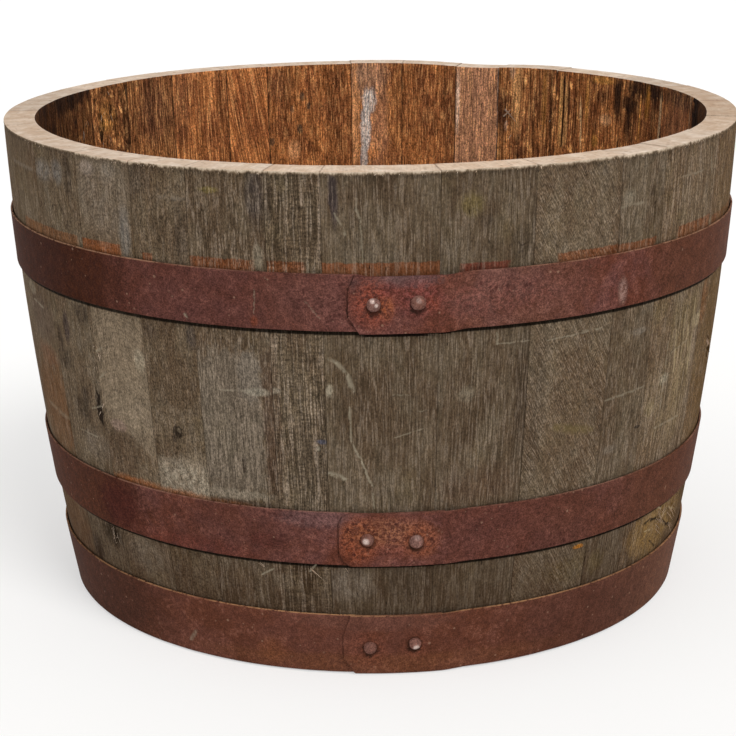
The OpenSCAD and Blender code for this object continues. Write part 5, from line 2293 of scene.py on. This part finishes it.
def stave_look(number: int) -> StaveLook:
    """The look of one stave: what the photograph shows of it, or a drawn one where it is hidden.

    Args:
        number: the stave's number.

    Returns:
        Its look.
    """
    rng = np.random.default_rng(number)

    def draw(low: float, high: float) -> float:
        """A number between two others."""
        return float(rng.uniform(low, high))

    plain = WeatheredOak(
        tone=draw(0.84, 1.18), warmth=draw(-0.03, 0.07), lines=draw(0.7, 1.3), grit=draw(0.9, 1.5),
        slant=draw(-0.08, 0.08), length=draw(0.011, 0.024), lichen=draw(0.15, 0.5), moss=draw(0.08, 0.3),
        joint=0.6,
        marks=(
            rust_stain(draw(-44, -12), draw(5, 44), draw(357, 361)),
            Patch(draw(-20, 20), draw(200, 290), draw(10, 26), draw(30, 60), GREY_WOOD, draw(0.2, 0.6),
                  soft=0.3),
            Patch(draw(-20, 20), draw(170, 290), draw(4, 12), draw(10, 40), DIM_WOOD, draw(0.3, 0.7), 0.4),
            Patch(draw(-25, 25), draw(385, 420), draw(6, 14), draw(6, 20), DIM_WOOD, draw(0.2, 0.6), 0.3),
            Patch(draw(-25, 25), draw(65, 95), draw(10, 30), draw(8, 16), TAN_WOOD, draw(0.1, 0.5), 0.5),
            Scratch(draw(-25, 0), draw(180, 290), draw(5, 28), draw(180, 290), 0.9, draw(0.2, 0.6)),
        ),
    )
    stained = CaskInside(
        tone=draw(0.76, 1.16), warmth=draw(-0.01, 0.06), lines=draw(0.75, 1.1), length=draw(0.014, 0.03),
        scales=draw(0.2, 0.7), soot=draw(0.1, 0.6), gold=draw(0.1, 0.6),
        marks=(
            Patch(draw(-20, 20), draw(360, 420), draw(8, 22), draw(20, 50), DIM_WOOD, draw(0.1, 0.6), 0.4,
                  soft=0.6),
            Patch(draw(-20, 20), draw(200, 340), draw(8, 26), draw(40, 90), WARM_WOOD, draw(0.2, 0.6), 0.3,
                  soft=0.6),
        ),
    )
    return StaveLook(
        outside=OUTSIDE_LOOKS.get(number, plain),
        rim=SawnOak(tone=draw(0.97, 1.03) * RIM_TONES.get(number, 1.0), pink=RIM_PINK.get(number, 0.0)),
        inside=INSIDE_LOOKS.get(number, stained),
        step=RIM_STEPS.get(number, draw(0.1, 0.9)),
        inset=INSETS.get(number, draw(0.0, 0.5)),
        dents=DENTS.get(number, ()),
        tufts=TUFTS.get(number, ()),
        sticks=STICKS.get(number, ()),
    )


def make_hoops(cask: Cask) -> tuple[Hoop, ...]:
    """The three hoops with their laps, ends and rust.

    Args:
        cask: the cask's sizes.

    Returns:
        The upper, middle and base hoop.
    """
    upper = Hoop(
        cask, "upper_hoop", foot=UPPER_FOOT, width=0.0467, lap_turn=3.2, pitch=0.034, tail=0.0195,
        rise=0.001, drop=0.0015, low_cut=(0.0085, 0.0135), high_cut=(0.005, 0.012), seed=1,
        finish=RustedIron(
            fresh=(
                Patch(0, 329, 17, 20, paint(108, 50, 34), 0.75, 0.5),
                Patch(11, 325, 6, 9, paint(122, 66, 38), 0.6, 0.7), Patch(13, 340, 9, 6, RED_RUST, 0.6, 0.4),
                Patch(105, 330, 75, 18, RED_RUST, 0.35, 0.9, soft=0.5),
                Patch(36, 333, 17, 15, RED_RUST, 0.7, 0.5),
                Patch(47, 328, 6, 7, paint(102, 48, 32), 0.5, 0.5),
            ),
            marks=(
                # These patches paint shade over the left end (also at -130 mm) and the tone of the lit right
                # end.
                Patch(-330, 330, 120, 90, SHADED, 0.9, soft=0.28, ragged=0.1),
                Patch(345, 330, 95, 90, SUNNY, 0.85, soft=0.3, ragged=0.1),
                Patch(-130, 330, 90, 60, paint(82, 50, 44), 0.6, soft=0.6),
                Patch(120, 330, 60, 30, paint(106, 80, 68), 0.5, 0.5, soft=0.6),
                Patch(24, 347, 26, 6, paint(104, 84, 84), 0.55),
                Patch(217, 320, 5, 11, paint(150, 124, 114), 0.55, 0.6), Patch(-93, 312, 3, 4, RUSTY, 0.7),
                Patch(-12, 343, 5, 6, paint(60, 52, 52), 0.6), Scratch(-92, 338, -93, 318, 0.9, 0.45),
                Scratch(-153, 313, -151, 308, 1.3, 0.7), Scratch(-40, 316, -52, 330, 0.7, 0.3),
                # Painted shadow along the free end of the lap.
                Scratch(-18.9, 341, -18.9, 318, 0.9, 1.0, SOOT_AND_SHADOW),
                Scratch(-18.9, 318.5, -10.4, 304.2, 0.9, 1.0, SOOT_AND_SHADOW),
                Scratch(-18.9, 339, -13.8, 351.5, 0.8, 0.8, SOOT_AND_SHADOW),
                # More painted shade at the far left end.
                Patch(-330, 330, 60, 40, paint(52, 30, 24), 0.4, soft=0.7),
                Patch(-60, 330, 30, 26, paint(98, 64, 56), 0.4, soft=0.6),
            ),
        ),
    )
    middle = Hoop(
        cask, "middle_hoop", foot=MIDDLE_FOOT, width=0.0488, lap_turn=2.7, pitch=0.039, tail=0.023,
        rise=-0.0025, lap_end=LapEnd.ROUNDED, low_cut=(0.012, 0.012), high_cut=(0.012, 0.012), seed=2,
        finish=RustedIron(
            edge_rust_and_highlight=paint(146, 110, 90), edge_middle=0.45,
            fresh=(
                Patch(-12, 127, 17, 21, paint(108, 54, 34), 0.9, 0.4, soft=0.25),
                Patch(18, 130, 26, 19, paint(102, 54, 40), 0.7, 0.5),
                Patch(12, 134, 34, 12, paint(124, 82, 50), 0.3, 0.8, soft=0.5),
                Patch(38, 126, 15, 17, paint(106, 56, 36), 0.8, 0.4, soft=0.3),
            ),
            marks=(
                # Painted shade over the left end (here and at -120 mm), and painted tone of the lit right
                # end.
                Patch(-330, 127, 120, 90, paint(70, 39, 25), 0.9, soft=0.28, ragged=0.1),
                Patch(-240, 126, 26, 22, BLOOD, 0.7, soft=0.5),
                Patch(340, 127, 110, 90, SUNNY, 0.9, soft=0.3, ragged=0.1),
                Patch(120, 127, 80, 50, paint(84, 50, 42), 0.7, soft=0.5),
                Patch(-120, 127, 60, 50, paint(82, 50, 42), 0.5, soft=0.5),
                # Painted shadow along the free end of the lap.
                Scratch(-28.7, 141, -28.7, 114, 0.9, 1.0, SOOT_AND_SHADOW),
                Scratch(-28.5, 115, -25, 106.5, 0.9, 1.0, SOOT_AND_SHADOW),
                Scratch(-25, 106.8, -17, 102.6, 0.8, 0.9, SOOT_AND_SHADOW),
                Scratch(-28.6, 140, -25.5, 148, 0.8, 0.8, SOOT_AND_SHADOW), Patch(-88, 122, 16, 7, BLOOD, 0.5, 0.5),
                Patch(-160, 108, 60, 8, RED_RUST, 0.35, 0.5),
                Patch(-45, 145, 34, 8, paint(98, 76, 76), 0.45),
                Patch(200, 127, 60, 40, paint(90, 56, 44), 0.5, soft=0.6),
            ),
        ),
    )
    base = Hoop(
        cask, "base_hoop", foot=BASE_FOOT, width=0.0564, lap_turn=2.9, pitch=0.0365, tail=0.022, rise=0.003,
        low_cut=(0.009, 0.014), high_cut=(0.0065, 0.02), seed=3,
        finish=RustedIron(
            body=paint(98, 60, 49), warm=paint(92, 54, 40), contrast=0.8, pitted=0.2,
            edge_rust_and_highlight=paint(178, 134, 94), edge_middle=1.0,
            fresh=(
                Patch(-6, 24, 17, 17, RUSTY, 0.3, 0.5), Patch(34, 26, 10, 12, RUSTY, 0.25, 0.5),
            ),
            marks=(
                # Painted shade over the left end, and painted tone of the lit right end.
                Patch(-330, 30, 130, 90, paint(66, 40, 30), 0.85, soft=0.3, ragged=0.1),
                Patch(340, 30, 120, 90, paint(100, 66, 50), 0.8, soft=0.3, ragged=0.1),
                Patch(205, 30, 80, 50, paint(78, 48, 38), 0.7, soft=0.6),
                # Painted shadow along the free end of the lap.
                Scratch(-26.1, 38, -26.1, 15, 0.8, 0.4, SOOT_AND_SHADOW),
                Scratch(-26.1, 15.6, -17, 1.6, 0.8, 0.4, SOOT_AND_SHADOW),
                Patch(0, 10, 150, 9, paint(116, 74, 46), 0.35, 0.4), Scratch(-166, 12, -160, 22, 2.6, 0.5),
                Patch(-88, 18, 12, 12, paint(120, 72, 42), 0.35, 0.4),
                Patch(0, 50, 60, 8, paint(104, 70, 60), 0.4),
            ),
        ),
    )
    return upper, middle, base


def glint(across: float, up: float, size: float, strength: float) -> Patch:
    """A painted highlight on a rivet's head, where the finish also makes the iron smoother and more metallic.
    """
    return Patch(across, up, size, size, GLINT, strength, 0.5, soft=0.4, ragged=0.8)


def make_rivets(hoops: tuple[Hoop, ...]) -> tuple[Rivets, ...]:
    """The rivets of each hoop, with the heads, wear and painted highlights that each shows.

    Args:
        hoops: the three hoops.

    Returns:
        A pair for each.
    """
    upper, middle, base = hoops
    worn = RustedIron(body=paint(124, 92, 84), warm=paint(112, 74, 62), pitted=0.1)
    bright = (glint(0, 332, 1.7, 0.95), glint(3.2, 328.6, 1.4, 0.9), glint(36, 331.5, 2.2, 0.3))
    return (
        Rivets(upper, "upper_rivets", (RivetHead(wide=0.0108, flat=0.05), RivetHead(high=0.0046, flat=0.12)),
               replace(worn, glints=bright), seed=1),
        Rivets(middle, "middle_rivets",
               (RivetHead(wide=0.0108, high=0.0054, fullness=0.7), RivetHead(flat=0.1)),
               replace(worn, glints=(glint(-6.5, 127.8, 2.5, 1.0), glint(35, 129.5, 2.2, 0.2))), seed=2),
        Rivets(base, "base_rivets",
               (RivetHead(wide=0.0106, high=0.0054, fullness=0.62), RivetHead(wide=0.0102, high=0.0054)),
               replace(worn, body=paint(118, 82, 72), glints=(glint(34.5, 27.0, 2.5, 1.2),)), seed=3),
    )


# ---- Studio ---------------------------------------------------------------


@dataclass
class Studio:
    """Pale floor, soft light and the camera of the photograph."""

    distance: float = 1.7854
    eye_height: float = 0.7001
    pitch: float = 16.162
    roll: float = -0.50
    yaw: float = -0.14
    focal_px: float = 1961.5
    photo_side: int = 736
    film: float = 36.0
    key_strength: float = 1.5
    key_soft: float = 26
    fill_strength: float = 0.4
    fill_soft: float = 70
    sky: float = 0.62
    floor_radius: float = 14.0
    floor_drop: float = 0.0004

    def camera(self) -> None:
        """Sets the camera where the photograph was taken from."""
        yaw, pitch, roll = (math.radians(v) for v in (self.yaw, self.pitch, self.roll))
        ahead = np.array([math.sin(yaw) * math.cos(pitch), math.cos(yaw) * math.cos(pitch), -math.sin(pitch)])
        right = np.array([math.cos(yaw), -math.sin(yaw), 0.0])
        up = np.cross(right, ahead)
        rolled_right = math.cos(roll) * right + math.sin(roll) * up
        rolled_up = -math.sin(roll) * right + math.cos(roll) * up
        lens = bpy.data.cameras.new("photo_camera")
        lens.sensor_width = self.film
        lens.lens = self.focal_px / self.photo_side * self.film
        lens.clip_end = 60
        camera = shown("photo_camera", lens)
        axes = (rolled_right, rolled_up, -ahead)
        camera.matrix_world = placing(axes, (0.0, -self.distance, self.eye_height))
        bpy.context.scene.camera = camera

    @staticmethod
    def sun(name: str, strength: float, soft: float, towards: tuple[float, float, float]) -> None:
        """A broad lamp that shines from a direction.

        Args:
            name: the lamp's name.
            strength: its strength.
            soft: how wide it looks, in degrees.
            towards: where it stands from the part.
        """
        lamp = bpy.data.lights.new(name, "SUN")
        lamp.energy, lamp.angle = strength, math.radians(soft)
        axis = np.array(towards) / np.linalg.norm(towards)
        side = np.cross((0.0, 0.0, 1.0), axis)
        side /= np.linalg.norm(side)
        shown(name, lamp).matrix_world = placing((side, np.cross(axis, side), axis), (0.0, 0.0, 0.0))

    @staticmethod
    def seen(w: Wiring) -> Signal:
        """1 for rays that come from the camera, straight or by a reflection or through glass.

        Args:
            w: the material's wiring.

        Returns:
            The share, 0 or 1.
        """
        ray = w.add("ShaderNodeLightPath", {}).outputs
        camera, glossy, through = (Signal(w, ray[f"Is {kind} Ray"])
                                   for kind in ("Camera", "Glossy", "Transmission"))
        return w.calc("MAXIMUM", camera, w.calc("MAXIMUM", glossy, through))

    def world(self) -> None:
        """An even sky, white where the camera sees it."""
        world = bpy.data.worlds.new("studio")
        bpy.context.scene.world = world
        world.use_nodes = True
        world.node_tree.nodes.clear()
        w = Wiring(world.node_tree)
        level = self.seen(w) * (1.0 - self.sky) + self.sky
        light = w.result("ShaderNodeBackground", {"Color": (1.0, 1.0, 1.0), "Strength": level})
        w.add("ShaderNodeOutputWorld", {"Surface": light})

    def floor(self) -> None:
        """A wide pale floor that keeps the planter's shadow."""
        material, w, shader = start_material("pale_floor")
        shader.inputs["Roughness"].default_value = 0.9
        shader.inputs["Specular IOR Level"].default_value = 0.1
        seen = self.seen(w)
        w.feed(shader.inputs["Base Color"], w.blend(seen, paint(240, 238, 235), paint(196, 195, 193)))
        shader.inputs["Emission Color"].default_value = (1, 1, 1, 1)
        w.feed(shader.inputs["Emission Strength"], seen * 0.46)
        sides, radius = 64, self.floor_radius
        corners = [(radius * math.cos(2 * math.pi * k / sides), radius * math.sin(2 * math.pi * k / sides),
                    0.0) for k in range(sides)]
        mesh = bpy.data.meshes.new("studio_floor")
        mesh.from_pydata(corners, [], [tuple(range(sides))])
        mesh.materials.append(material)
        floor = shown("studio_floor", mesh)
        floor.location.z = -self.floor_drop

    def build(self) -> None:
        """Sets up camera, light and floor."""
        self.camera()
        self.world()
        self.floor()
        self.sun("key", self.key_strength, self.key_soft, (0.4, -0.75, 0.95))
        self.sun("fill", self.fill_strength, self.fill_soft, (-0.8, -0.6, 0.5))
        bpy.context.scene.view_settings.view_transform = "Standard"
        LOG.info("studio: camera, sky, floor and two lamps")


def main() -> None:
    """Builds the studio and the planter."""
    logging.basicConfig(level=logging.INFO, format="%(message)s")
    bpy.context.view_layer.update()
    Studio().build()
    effects, cask = Effects(), Cask()
    staves = sorted(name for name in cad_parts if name.startswith("stave_"))
    for name in staves:
        number = int(name.split("_")[1])
        Stave(cask, number, stave_look(number)).build(effects)
    hoops = make_hoops(cask)
    for hoop in hoops:
        hoop.build(effects)
    for rivets in make_rivets(hoops):
        rivets.build(effects)
    for number in range(1, BOARDS + 1):
        tone = float(np.random.default_rng(60 + number).uniform(0.74, 1.2))
        HeadBoard(cask, number, HeadOak(tone=tone), drains=DRAINS.get(number, ())).build(effects)
    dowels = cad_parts["head_dowels"]
    dowels.data.materials.clear()
    dowels.data.materials.append(HeadOak(tone=1.4).material("dowel_oak", effects, 77.0))


if __name__ == "__main__":
    main()
